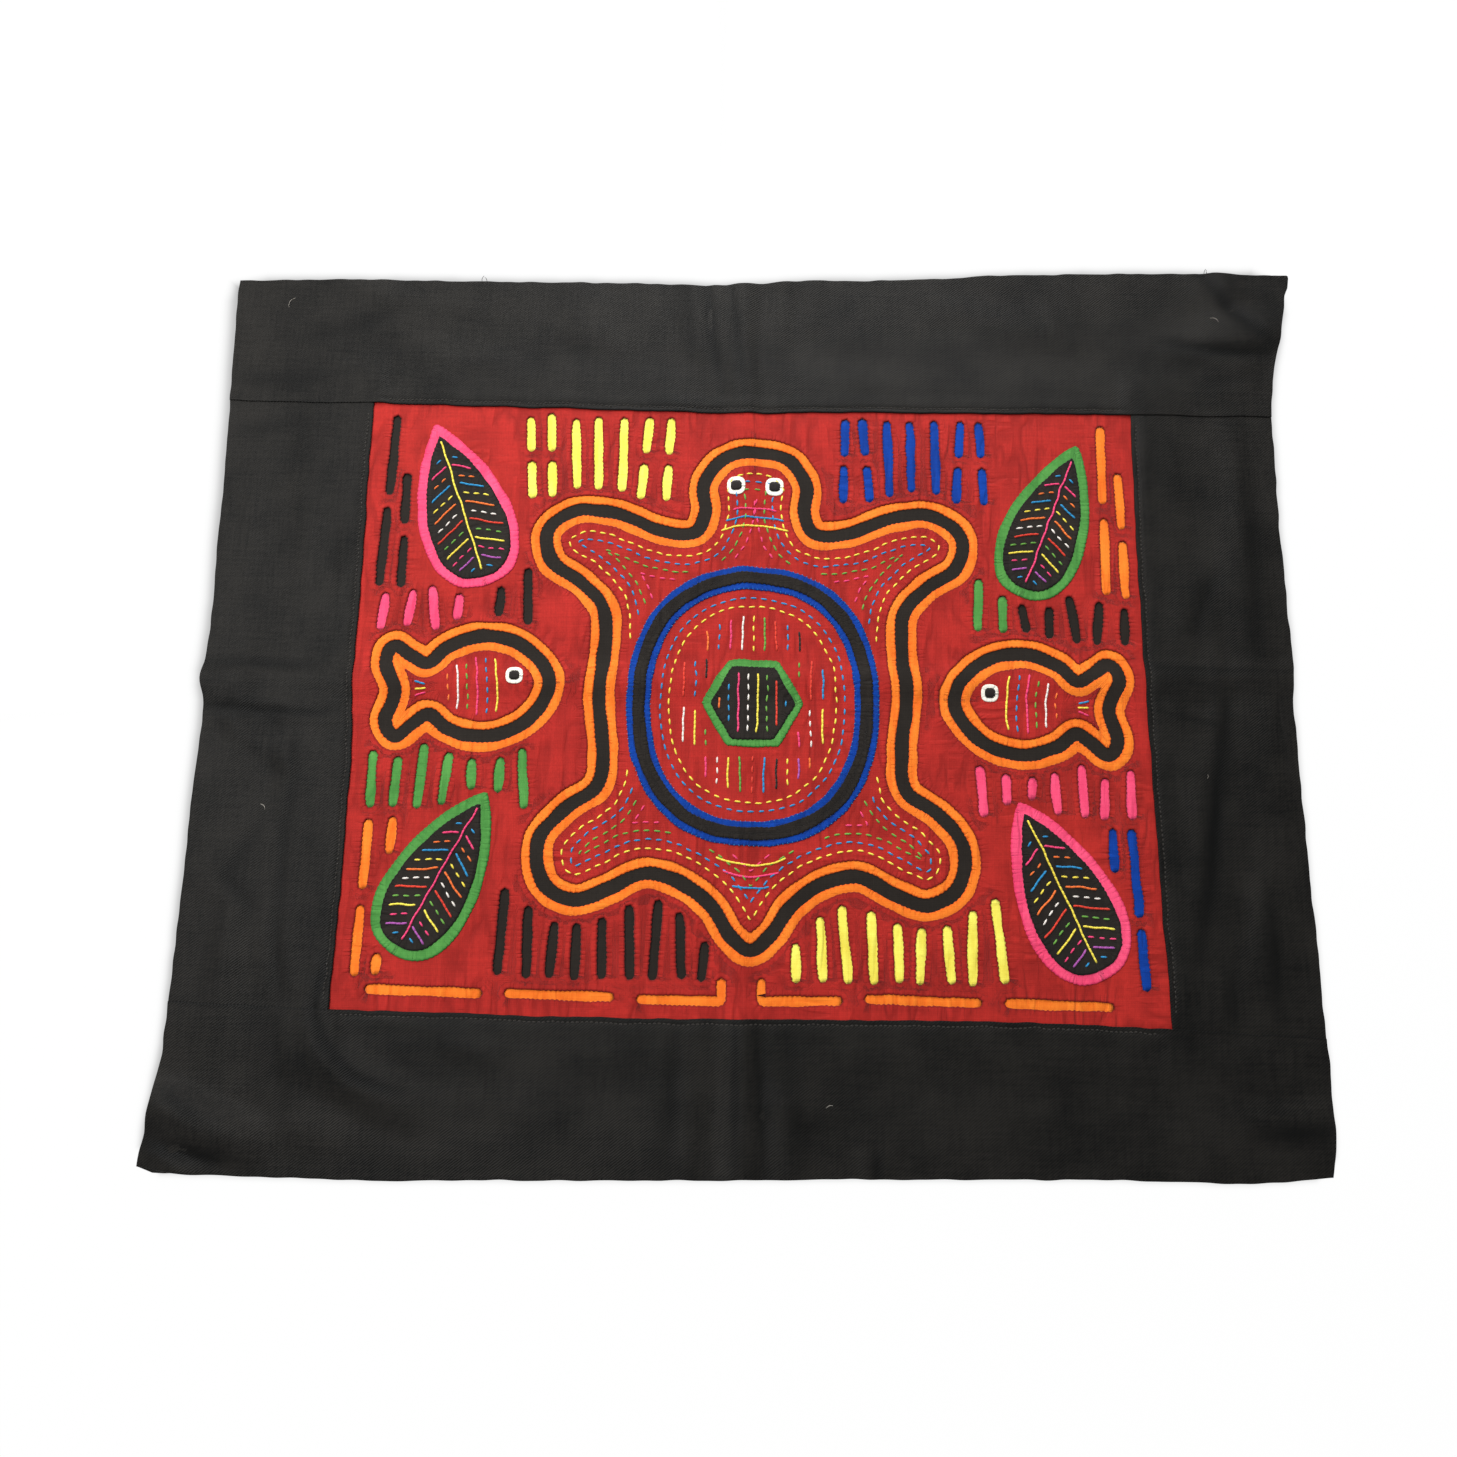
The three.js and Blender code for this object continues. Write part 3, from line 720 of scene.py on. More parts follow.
def new_piece(
    name: str,
    places: Array,
    faces: Array,
    cotton: Cotton,
    attributes: dict[str, Array] | None = None,
) -> bpy.types.Object:
    """A mesh object that rides on the panel.

    Args:
        name: The piece's name.
        places: Its points, in millimetres.
        faces: Point numbers, one row a face.
        cotton: Its cloth or thread.
        attributes: Numbers for each point, by name.

    Returns:
        The object, with its material.
    """
    used, index = np.unique(faces, return_inverse=True)
    faces = outward_faces(places[used], index.reshape(faces.shape))
    mesh = bpy.data.meshes.new(name)
    mesh.from_pydata(to_frame(places[used]), [], faces)
    for key, values in (attributes or {}).items():
        layer = mesh.attributes.new(key, "FLOAT", "POINT")
        layer.data.foreach_set("value", np.ascontiguousarray(values[used], np.float32))
    mesh.polygons.foreach_set("use_smooth", np.ones(len(faces), bool))
    mesh.materials.append(cotton.material())
    mesh.update()
    piece = bpy.data.objects.new(name, mesh)
    bpy.context.scene.collection.objects.link(piece)
    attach(piece, "root")
    log.info("%s: %d triangles", name, len(faces) * (faces.shape[1] - 2))
    return piece


def quads(index: Array) -> Array:
    """The four-sided faces of a grid of point numbers."""
    corners = (index[:-1, :-1], index[:-1, 1:], index[1:, 1:], index[1:, :-1])
    return np.stack(corners, -1).reshape(-1, 4)


def joined(parts: list[tuple[Array, Array]]) -> tuple[Array, Array]:
    """Points and faces of several meshes as one."""
    counts = np.cumsum([0] + [len(places) for places, _ in parts[:-1]])
    faces = [faces + count for (_, faces), count in zip(parts, counts)]
    return np.vstack([places for places, _ in parts]), np.vstack(faces)


def closed_sheet(x: Array, y: Array, under: Array, ply: Array) -> tuple[Array, Array]:
    """A cloth over a grid, its upper and lower faces meeting at a shared rim.

    Args:
        x: Grid of first coordinates.
        y: Grid of second coordinates.
        under: Grid of heights of the lower face.
        ply: Grid of thicknesses, which is 0 at the rim.

    Returns:
        Points and faces.
    """
    rim = np.zeros(x.shape, bool)
    rim[[0, -1]] = True
    rim[:, [0, -1]] = True
    top = np.arange(x.size).reshape(x.shape)
    low = np.where(rim, top, top + x.size)
    upper = np.stack([x, y, under + ply], -1).reshape(-1, 3)
    lower = np.stack([x, y, under], -1).reshape(-1, 3)
    return np.vstack([upper, lower]), np.vstack([quads(top), quads(low)[:, ::-1]])


EDGE_ROLL = np.array([0.0, 0.12, 0.35, 0.8, 1.5])  # grid lines near a rolled edge
SEAM_LINES = np.array(  # and over the border's turned margin with its topstitching
    [2.1, 2.7, 3.3, 4.0, 5.2, 6.6, 7.4, 8.2, 9.2, 10.6, 12.0, 13.5, 15.0]
)
ROLL = 0.6  # radius of a folded edge


def spaced(length: float, step: float) -> Array:
    """Grid lines from 0 to length, even but for the closer ones at both edges."""
    count = max(3, round((length - 2.0 * EDGE_ROLL[-1]) / step) + 1)
    middle = np.linspace(EDGE_ROLL[-1], length - EDGE_ROLL[-1], count)
    return np.concatenate([EDGE_ROLL[:-1], middle, length - EDGE_ROLL[:-1][::-1]])


def rounded_edge(away: Array) -> Array:
    """Share of the thickness at a distance from a folded edge: a quarter circle."""
    return np.sqrt(1.0 - (1.0 - np.clip(away / ROLL, 0.0, 1.0)) ** 2)


def from_rim(first: Array, second: Array) -> Array:
    """Distance to the nearest rim over a grid with these lines."""
    one = np.minimum(first - first[0], first[-1] - first)
    two = np.minimum(second - second[0], second[-1] - second)
    return np.minimum(one[None, :], two[:, None])


@dataclass(frozen=True)
class EdgeLine:
    """A seam or an outer edge: its distance from the picture's middle at stations along it."""

    rows: Rows
    seed: int = 1
    waver: float = 0.25
    shift: float = 0.0
    peeks: Rows = ()  # where along it the edge stands out further, and by how much

    def at(self, along: Array) -> Array:
        """The tabled line, rounded over 15 mm, with a small waver and the peeks added."""
        stations = np.arange(-330.0, 331.0)
        raw = np.interp(stations, *np.transpose(self.rows))
        window = np.hanning(17)
        soft = np.convolve(np.pad(raw, 8, mode="edge"), window / window.sum(), "valid")
        soft = soft + self.waver * wavering(stations, self.seed, 60.0, 9.0) + self.shift
        for where, amount in self.peeks:
            soft = soft + amount * np.exp(-(((stations - where) / 7.0) ** 2))
        return np.interp(along, stations, soft)

    def changed(self, shift: float, peeks: Rows = ()) -> EdgeLine:
        """The same line moved by a distance, with other peeks."""
        return EdgeLine(self.rows, self.seed, self.waver, shift, peeks)


TOP_SEAM = EdgeLine(
    (
        (-300, 165.2), (-209, 164.6), (-75, 162.8), (-9, 161.6), (35, 163.6), (208, 164.9),
        (310, 166.2),
    ),
    seed=21,
)
BOTTOM_SEAM = EdgeLine(
    (
        (-300, -160.0), (-209, -163.1), (-60, -165.2), (80, -163.9), (155, -164.2),
        (210, -166.2), (300, -170.0),
    ),
    seed=22,
)
LEFT_SEAM = EdgeLine(
    (
        (-180, -209.0), (-94, -207.9), (-31, -208.2), (6, -210.6), (85, -210.7), (120, -212.0),
        (180, -211.4),
    ),
    seed=23,
)
RIGHT_SEAM = EdgeLine(
    ((-180, 210.8), (-102, 208.9), (-8, 207.2), (90, 206.5), (180, 207.8)), seed=24
)
TOP_EDGE = EdgeLine(
    (
        (-294, 239.6), (-232, 241.4), (-61, 242.1), (-27, 240.8), (24, 244.9), (92, 247.5),
        (144, 251.0), (212, 253.6), (302, 254.0),
    ),
    seed=25,
)
BOTTOM_EDGE = EdgeLine(
    (
        (-296, -238.4), (-280, -241.8), (-178, -243.7), (-61, -241.9), (55, -239.7),
        (171, -237.9), (244, -239.1), (273, -236.6), (286, -235.2),
    ),
    seed=26,
)
LEFT_EDGE = EdgeLine(
    (
        (-238, -296.4), (-208, -292.5), (-184, -289.8), (-33, -288.9), (-6, -288.4),
        (6, -291.6), (22, -289.4), (77, -290.0), (166, -292.0), (225, -294.4), (242, -293.9),
    ),
    seed=27,
)
RIGHT_EDGE = EdgeLine(
    (
        (-237, 284.2), (-222, 288.3), (-151, 287.2), (-50, 285.7), (4, 285.3), (31, 287.0),
        (88, 285.7), (166, 286.3), (191, 289.1), (222, 296.1), (254, 302.4),
    ),
    seed=28,
)


def between(first: Array, last: Array, share: Array) -> Array:
    """Straight between two values, by a share."""
    return first + (last - first) * share


def lap_share(past: Array) -> Array:
    """1 over a lap, falling smoothly to 0 past the edge of the cloth below."""
    start = SEAMS.lap + SEAMS.rest
    return 1.0 - smoothstep(past, start, start + SEAMS.fall)


def border_thickness(past: Array) -> Array:
    """The border's thickness: one ply, and more over its turned-under margin."""
    turned = 1.0 - smoothstep(past, SEAMS.turned - 2.5, SEAMS.turned + 4.5)
    return STACK.border_ply + STACK.border_turned * turned


def side_under(past: Array) -> Array:
    """Underside of a side strip, by the distance past its seam."""
    return between(STACK.lining, STACK.lap, lap_share(past))


def past_side_seam(x: Array, y: Array) -> Array:
    """How far a point is outside the nearer side seam."""
    held = np.clip(y, -175.0, 175.0)
    return np.where(x < 0, LEFT_SEAM.at(held) - x, x - RIGHT_SEAM.at(held))


class Run(Enum):
    """Which way a border strip runs."""

    LEVEL = "level"
    UPRIGHT = "upright"


@dataclass
class BorderStrip:
    """One strip of the black border: a face cloth on a lining, lapped over the picture."""

    name: str
    node: str
    run: Run
    side: int
    seam: EdgeLine
    edge: EdgeLine
    first: EdgeLine
    last: EdgeLine
    length: float
    width: float
    lining_edge: EdgeLine
    lining_first: EdgeLine
    lining_last: EdgeLine
    step: float = 2.3

    def place(
        self, along: Array, across: Array, edge: EdgeLine, first: EdgeLine, last: EdgeLine
    ) -> tuple[Array, Array, Array]:
        """Grid of x, of y and of distance past the seam.

        Between the ends a point lies at its share along, and between the seam and the outer
        edge at its share across; the two are settled in three rounds.
        """
        u, v = (along / along[-1])[None, :], (across / self.width)[:, None]
        c = np.full((len(across), len(along)), self.side * 200.0)
        a = np.zeros_like(c)
        for _ in range(3):
            a = between(first.at(c), last.at(c), u)
            c = between(self.seam.at(a), edge.at(a), v)
        past = self.side * (c - self.seam.at(a))
        return (a, c, past) if self.run is Run.LEVEL else (c, a, past)

    def under(self, x: Array, y: Array, past: Array) -> Array:
        """Underside of the face cloth: on the picture's layers and on the side strips at its
        inner edge, and on its own lining further out."""
        if self.run is Run.UPRIGHT:
            return side_under(past)
        beyond = past_side_seam(x, y)
        on_side = side_under(beyond) + border_thickness(beyond) + 0.03
        climb = smoothstep(beyond, SEAMS.climb_from, SEAMS.climb_to)
        return between(STACK.lining, between(STACK.lap, on_side, climb), lap_share(past))

    def face(self) -> None:
        """The face cloth, with a groove that the topstitching pulls into it."""
        along = spaced(self.length, self.step)
        outer = spaced(self.width, self.step)
        across = np.concatenate([EDGE_ROLL, SEAM_LINES, outer[outer > SEAM_LINES[-1] + 1.2]])
        x, y, past = self.place(along, across, self.edge, self.first, self.last)
        roll = rounded_edge(from_rim(along, across))
        ply = border_thickness(past)
        if self.run is Run.UPRIGHT:
            opening = smoothstep(160.0 - np.abs(y), 0.0, 4.0)
        else:
            opening = smoothstep(-past_side_seam(x, y), 2.0, 6.0)
            ply = between(STACK.border_ply, ply, opening)
        away = (past - SEAMS.stitch_in) / SEAMS.groove_width
        groove = SEAMS.groove * np.exp(-(away**2)) * opening
        under = self.under(x, y, past) + cloth_lie(x, y)
        low = under + 0.5 * ply * (1.0 - roll)
        places, faces = closed_sheet(x, y, low, ply * roll - groove * roll)
        # the distance in that sets the painted shade along the turned edge: three times the
        # distance past the seam where the strip runs beyond the picture's opening, so the shade is
        # narrower there
        edge_in = past * (3.0 - 2.0 * opening) if self.side > 0 else past
        facts = {"edge_in": edge_in, "light_held": crease_shade(x, y)}
        facts = {key: np.tile(value.ravel(), 2) for key, value in facts.items()}
        piece = new_piece(self.name, places, faces, Dye.BORDER.value, facts)
        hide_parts(self.node)
        self.declare(piece, self.width, ["base_sheet", f"{self.name}_lining"])

    def lining(self) -> None:
        """The lower ply, from the picture's margin to the outer edge, where it peeks out."""
        start = SEAMS.lap + 1.6
        lines = spaced(self.width - start, 6.0) + start
        along = spaced(self.length, 6.0)
        x, y, _ = self.place(
            along, lines, self.lining_edge, self.lining_first, self.lining_last
        )
        roll = rounded_edge(from_rim(along, lines))
        ply = STACK.lining - 0.04
        low = cloth_lie(x, y) + 0.5 * ply * (1.0 - roll)
        places, faces = closed_sheet(x, y, low, ply * roll)
        near = {"edge_in": np.full(len(places), FAR_IN)}
        piece = new_piece(f"{self.name}_lining", places, faces, Dye.BORDER.value, near)
        self.declare(piece, self.width - start, ["floor"])

    def declare(self, piece: bpy.types.Object, width: float, rests_on: list[str]) -> None:
        """Takes a ply, its width and what it rests on, and does nothing with them."""

    def topstitching(self) -> Array:
        """The line of the topstitching around the opening, along this strip."""
        a = np.linspace(-204.0, 204.0, 240)
        if self.run is Run.UPRIGHT:
            a = np.linspace(-159.0, 160.0, 200)
        c = self.seam.at(a) + self.side * SEAMS.stitch_in
        return np.stack([a, c] if self.run is Run.LEVEL else [c, a], -1)


LOOSE_TOP = STACK.lining + STACK.border_ply + 0.1
LOOSE_ENDS = (  # thread, middle, turn in degrees, length and bend of each lint or thread end
    (Floss.LINT, (-263.0, 226.0), 62.0, 7.0, 1.6),
    (Floss.LINT, (-244.0, 176.0), 15.0, 4.0, 0.7),
    (Floss.LINT, (258.0, 224.0), -35.0, 5.0, 1.2),
    (Floss.LINT, (236.0, -38.0), 80.0, 4.5, -1.0),
    (Floss.LINT, (-252.0, -62.0), -50.0, 4.0, 0.9),
    (Floss.LINT, (40.0, -206.0), 20.0, 3.5, 0.6),
    (Floss.GREY, (-156.0, 242.6), 84.0, 4.6, 0.8),
    (Floss.GREY, (-154.6, 242.2), 108.0, 3.8, -0.6),
    (Floss.GREY, (255.0, 254.2), 75.0, 4.4, 0.6),
    (Floss.GREY, (256.6, 254.0), 118.0, 3.6, 0.9),
    (Floss.GREY, (299.0, 252.6), 20.0, 4.2, 0.6),
)


@dataclass
class Border:
    """The four strips and their topstitching."""

    strips: list[BorderStrip] = field(default_factory=list)

    def __post_init__(self) -> None:
        """Cuts the four strips."""
        sides = (LEFT_EDGE, RIGHT_EDGE)
        laps = (BOTTOM_SEAM.changed(-SEAMS.lap), TOP_SEAM.changed(SEAMS.lap))
        seams = (BOTTOM_SEAM.changed(-0.5), TOP_SEAM.changed(0.5))
        left, right = LEFT_EDGE.changed(0.4), RIGHT_EDGE.changed(-0.4)
        corner = RIGHT_EDGE.changed(-0.4, ((249, 1.8),))
        top = TOP_EDGE.changed(-0.4, ((297, 0.9),))
        low = BOTTOM_EDGE.changed(0.4, ((-288, -2.0),))
        level, upright = Run.LEVEL, Run.UPRIGHT
        rows = (
            ("top", level, 1, TOP_SEAM, TOP_EDGE, *sides, 592.0, 84.0, top, left, corner),
            ("bottom", level, -1, BOTTOM_SEAM, BOTTOM_EDGE, *sides, 580.0, 76.0, low, left, right),
            ("left", upright, -1, LEFT_SEAM, LEFT_EDGE, *laps, 345.0, 80.0, left, *seams),
            ("right", upright, 1, RIGHT_SEAM, RIGHT_EDGE, *laps, 349.0, 79.0, right, *seams),
        )
        self.strips = [BorderStrip(f"{at}_strip", f"border_{at}", *row) for at, *row in rows]

    def build(self) -> None:
        """Makes the linings and the face cloths."""
        for strip in self.strips:
            strip.lining()
            strip.face()

    def sew(self, needlework: Needlework) -> None:
        """Topstitches the strips down around the picture, and leaves a few loose ends."""
        top = STACK.lap + STACK.border_ply + STACK.border_turned - 0.2
        for strip in self.strips:
            needlework.sew([strip.topstitching()], Floss.GREY, TOPSTITCH, top)
        for thread, at, turn, length, bend in LOOSE_ENDS:
            along = (np.array(LOOSE.shares) - 0.5) * length
            curve = np.stack([along, bend * (1.0 - (2.0 * along / length) ** 2)], -1)
            needlework.lay(placed(curve, at, turn)[None], thread, LOOSE, LOOSE_TOP)


@dataclass
class BaseCloth:
    """The black cotton under the whole picture."""

    step: float = 4.2

    def build(self) -> None:
        """A sheet to a lap beyond each seam."""
        along, across = spaced(438.0, self.step), spaced(346.0, self.step)
        u, v = (along / along[-1])[None, :], (across / across[-1])[:, None]
        lap = SEAMS.lap - 0.5
        y = np.zeros((len(across), len(along)))
        x = y.copy()
        for _ in range(3):
            x = between(LEFT_SEAM.at(y) - lap, RIGHT_SEAM.at(y) + lap, u)
            y = between(BOTTOM_SEAM.at(x) - lap, TOP_SEAM.at(x) + lap, v)
        roll = rounded_edge(from_rim(along, across))
        low = cloth_lie(x, y) + 0.5 * STACK.base * (1.0 - roll)
        places, faces = closed_sheet(x, y, low, STACK.base * roll)
        piece = new_piece("base_sheet", places, faces, Dye.BASE.value)
        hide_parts("base_cloth")


# Cloth cut to a shape.

SEWN_RIM = (  # distance in from a turned edge, height of the upper and of the lower face
    (0.0, 0.45, 0.45),
    (0.12, 0.84, 0.12),
    (0.4, 1.1, 0.02),
    (0.9, 1.24, 0.0),
    (1.7, 1.18, 0.0),
    (2.8, 0.98, 0.0),
)
HIDDEN_RIM = ((0.0, 0.5, 0.5), (0.3, 1.0, 0.0))
INNER_HEIGHTS = (1.0, 0.0)


class Layer(Enum):
    """The layers of the picture that cloths are cut for: their underside and thickness."""

    ORANGE = (STACK.orange, STACK.orange_ply)
    RED = (STACK.red, STACK.red_ply)
    APPLIED = (STACK.applied, STACK.applied_ply)
    APPLIED_TOP = (STACK.applied_top, STACK.applied_ply)


@dataclass
class Edge:
    """One edge of a cut cloth: a loop, and whether another cloth hides it."""

    loop: Array
    hidden: bool = False


@dataclass
class CutCloth:
    """A cloth cut to an outline, with holes, and turned under along its edges."""

    name: str
    outer: Edge
    layer: Layer
    dye: Dye
    holes: list[Edge] = field(default_factory=list)
    nodes: tuple[str, ...] = ()
    rests_on: str = "base_sheet"
    step: float = 4.5
    narrow: float = 1.0  # scales the rim's widths on a narrow cloth

    def rings(self) -> tuple[Array, Array, Array]:
        """Points of all rims.

        Each ring is its loop moved into the cloth by the rim's distance, less the points that
        come too near to another stretch of edge or fall outside the cloth.

        Returns:
            Places; for each point its upper and lower height, distance along and distance in;
            and for each point the number of its loop if it is on the loop itself, or -1.
        """
        places, facts, owners, insets = [], [], [], []
        for number, edge in enumerate([self.outer, *self.holes]):
            way = -1.0 if number == 0 else 1.0
            normal = outward(edge.loop) * way
            along = lengths_along(edge.loop, True)[:-1]
            for inset, upper, lower in HIDDEN_RIM if edge.hidden else SEWN_RIM:
                places.append(edge.loop + normal * inset * self.narrow)
                near = np.full(len(along), FAR_IN if edge.hidden else inset)
                heights = np.tile([upper, lower], (len(along), 1))
                facts.append(np.column_stack([heights, along, near]))
                owners.append(np.full(len(along), number if inset == 0.0 else -1))
                insets.append(np.full(len(along), inset * self.narrow))
        places, facts = np.vstack(places), np.vstack(facts)
        owners, insets = np.concatenate(owners), np.concatenate(insets)
        edges = places[owners >= 0]
        sound = nearest(places, edges) >= 0.8 * insets
        sound &= inside(places, self.outer.loop)
        sound |= owners >= 0
        return places[sound], facts[sound], owners[sound]

    def middle(self) -> Array:
        """Points of a staggered grid inside the cloth, clear of its rims."""
        low, high = self.outer.loop.min(0), self.outer.loop.max(0)
        rows = np.arange(low[1], high[1], self.step * 0.87)
        columns = np.arange(low[0], high[0], self.step)
        x, y = np.meshgrid(columns, rows)
        x = x + (np.arange(len(rows)) % 2)[:, None] * self.step / 2
        points = np.stack([x.ravel(), y.ravel()], -1)
        points = points[inside(points, self.outer.loop)]
        for hole in self.holes:
            points = points[~inside(points, hole.loop)]
        edges = np.vstack([edge.loop for edge in [self.outer, *self.holes]])
        clear = 2.8 * self.narrow + 0.4 * self.step
        return points[nearest(points, edges) > clear] if len(points) else points

    def build(self) -> None:
        """Triangulates the cloth between its loops and gives it two faces.

        A triangle whose corners all lie on one loop spans a hole or a bay of the outline, so
        it is left out. Each face lies at the level, plus the lie of the cloth, plus the ply
        times the rim's height.
        """
        rims, facts, owners = self.rings()
        inner = self.middle()
        flat = np.vstack([rims, inner])
        if len(inner):
            away, which = nearest_of(inner, rims[owners >= 0])
            beside = facts[owners >= 0][which]
            near = np.where(beside[:, 3] > FAR_IN - 1.0, FAR_IN, away)
            heights = np.tile(INNER_HEIGHTS, (len(inner), 1))
            facts = np.vstack([facts, np.column_stack([heights, beside[:, 2], near])])
        owners = np.concatenate([owners, np.full(len(inner), -1)])
        bound = []
        for number in range(len(self.holes) + 1):
            ring = np.flatnonzero(owners == number)
            bound.append(np.stack([ring, np.roll(ring, -1)], -1))
        found = delaunay_2d_cdt(flat.tolist(), np.vstack(bound).tolist(), [], 0, 1e-5)
        xy = np.array([tuple(place) for place in found[0]])
        source = np.array([origin[0] if origin else -1 for origin in found[3]])
        faces = np.array(found[2])
        inner_facts = [*INNER_HEIGHTS, 0.0, FAR_IN]
        facts = np.where(source[:, None] >= 0, facts[source], inner_facts)
        owners = np.where(source >= 0, owners[source], -1)
        own = owners[faces]
        stray = (own[:, 0] >= 0) & (own[:, 0] == own[:, 1]) & (own[:, 0] == own[:, 2])
        faces = faces[~stray]
        level, ply = self.layer.value
        lie = cloth_lie(xy[:, 0], xy[:, 1]) + level
        upper = np.column_stack([xy, lie + ply * facts[:, 0]])
        lower = np.column_stack([xy, lie + ply * facts[:, 1]])
        below = np.where(owners[faces] >= 0, faces, faces + len(xy))[:, ::-1]
        piece = new_piece(
            self.name,
            np.vstack([upper, lower]),
            np.vstack([faces, below]),
            self.dye.value,
            {"edge_along": np.tile(facts[:, 2], 2), "edge_in": np.tile(facts[:, 3], 2)},
        )
        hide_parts(*self.nodes)
        self.declare(piece)

    def declare(self, piece: bpy.types.Object) -> None:
        """Works out the piece's cut size, its box if it is compact or a strip of its mean width
        for a ring or band, and does nothing with it.
        """
        area = loop_area(self.outer.loop) - sum(loop_area(h.loop) for h in self.holes)
        size = np.ptp(self.outer.loop, axis=0)
        if area < 0.32 * size[0] * size[1]:
            round_it = sum(lengths_along(e.loop, True)[-1] for e in [self.outer, *self.holes])
            width = 2.0 * area / round_it
            size = np.array([width, area / width])
        size = np.maximum(size, 10.2)


# Sewing.


@dataclass(frozen=True)
class Stitch:
    """One kind of stitch: its length, the gap to the next, and its thread."""

    length: float
    gap: float
    radius: float
    sides: int = 6
    shares: tuple[float, ...] = (0.0, 0.25, 0.75, 1.0)
    girths: tuple[float, ...] = (0.45, 1.0, 1.0, 0.45)
    unevenness: float = 0.12


RUNNING = Stitch(3.3, 2.2, 0.48)
OUTLINE = Stitch(3.2, -0.6, 0.54, girths=(0.7, 1.0, 1.0, 0.7), unevenness=0.05)
TOPSTITCH = Stitch(1.4, 1.0, 0.36, unevenness=0.04)
SATIN = Stitch(0.0, 0.0, 0.42, girths=(0.7, 1.0, 1.0, 0.7))
LOOSE = Stitch(
    0.0, 0.0, 0.16, sides=4, shares=(0.0, 0.25, 0.5, 0.75, 1.0), girths=(1.0,) * 5
)
SLIP = Stitch(
    0.9, 0.0, 0.17, sides=4, shares=(0.0, 0.5, 1.0), girths=(0.6, 1.0, 0.6), unevenness=0.1
)


@dataclass
class Needlework:
    """All stitches, kept by thread until each thread becomes one piece."""

    sewn: dict[Floss, list[tuple[Array, Array]]] = field(default_factory=dict)
    draw: np.random.Generator = field(default_factory=lambda: np.random.default_rng(5))

    def sew(
        self, paths: Iterable[Array], thread: Floss, stitch: Stitch, top: float
    ) -> None:
        """Sews stitches end to end along open paths."""
        for path in paths:
            total = lengths_along(path, False)[-1]
            pitch = stitch.length + stitch.gap
            count = int((total + stitch.gap) / pitch)
            if count < 1:
                continue
            slack = (total - count * pitch + stitch.gap) / 2
            start = slack + np.arange(count) * pitch
            jitter = self.draw.normal(0.0, stitch.unevenness, (2, count)) * stitch.length
            ends = np.stack([start, start + stitch.length], -1) + 0.35 * jitter.T
            shares = np.array(stitch.shares)
            where = ends[:, :1] + (ends[:, 1:] - ends[:, :1]) * shares
            self.lay(points_at(self.strayed(path), where, False), thread, stitch, top)

    def strayed(self, path: Array) -> Array:
        """The path as a hand follows it: moved sideways by 0.3 mm times uneven waves."""
        seed = int(self.draw.integers(10_000))
        stray = 0.3 * wavering(lengths_along(path, False), seed, 30.0, 7.0)[:, None]
        return path + directions(path)[1] * stray

    def sew_across(
        self, loop: Array, thread: Floss, stitch: Stitch, top: float, pitch: float
    ) -> None:
        """Sews short stitches over an edge, leaning along it."""
        base = evenly(loop, pitch)
        normal = outward(base)
        run = np.stack([-normal[:, 1], normal[:, 0]], -1)
        lean = run * self.draw.normal(0.35, 0.15, (len(base), 1)) + normal
        shares = (np.array(stitch.shares) - 0.4)[None, :, None]
        self.lay(base[:, None] + lean[:, None] * shares * stitch.length, thread, stitch, top)

    def fill(self, centre: Array, radius: float, thread: Floss, top: float) -> None:
        """Fills a round-cornered spot, |x|^3 + |y|^3 = radius^3, with stitches side by side."""
        x = np.linspace(-0.88, 0.88, 9) * radius
        half = np.cbrt(radius**3 - np.abs(x) ** 3)
        y = half[:, None] * (2.0 * np.array(SATIN.shares) - 1.0)
        spot = np.stack([np.broadcast_to(x[:, None], y.shape), y], -1)
        self.lay(spot + centre, thread, SATIN, top)

    def lay(self, centre: Array, thread: Floss, stitch: Stitch, top: float) -> None:
        """Adds stitches whose threads follow these points.

        A stitch is a tube about its points whose girth and height rise from both ends: its
        height is the cloth's plus (0.9 sin(pi share) - 0.35) radii.
        """
        shares, girths = np.array(stitch.shares), np.array(stitch.girths)
        run = centre[:, -1:] - centre[:, :1]
        run = run / (np.linalg.norm(run, axis=-1, keepdims=True) + TINY)
        side = np.stack([-run[..., 1], run[..., 0]], -1)
        angle = 2.0 * np.pi * np.arange(stitch.sides) / stitch.sides
        girth = (girths * stitch.radius)[None, :, None]
        flat = centre[:, :, None] + side[:, :, None] * (girth * np.cos(angle))[..., None]
        rise = (0.9 * np.sin(np.pi * shares) - 0.35) * stitch.radius
        height = top + cloth_lie(centre[..., 0], centre[..., 1]) + rise
        z = height[..., None] + girth * np.sin(angle)
        places = np.concatenate([flat, z[..., None]], -1).reshape(-1, 3)
        count, rings, sides = z.shape
        index = np.arange(places.shape[0]).reshape(count, rings, sides)
        after = np.roll(index, -1, 2)
        walls = np.stack([index[:, :-1], after[:, :-1], after[:, 1:], index[:, 1:]], -1)
        caps = [
            ring[:, [0, k, k + 1, k + 2]][:, ::way]
            for ring, way in ((index[:, 0], -1), (index[:, -1], 1))
            for k in range(1, sides - 1, 2)
        ]
        faces = np.vstack([walls.reshape(-1, 4), *caps])
        self.sewn.setdefault(thread, []).append((places, faces))

    def build(self) -> None:
        """Makes one piece of each thread."""
        for thread, parts in self.sewn.items():
            new_piece(f"{thread.value.name}_work", *joined(parts), thread.value)


def runs_where(path: Array, kept: Array, shortest: float) -> list[Array]:
    """Stretches of a path where kept is true, if they are long enough."""
    turns = np.flatnonzero(np.diff(np.concatenate([[0], kept.astype(int), [0]])))
    runs = [path[a:b] for a, b in turns.reshape(-1, 2)]
    return [r for r in runs if len(r) > 1 and lengths_along(r, False)[-1] >= shortest]


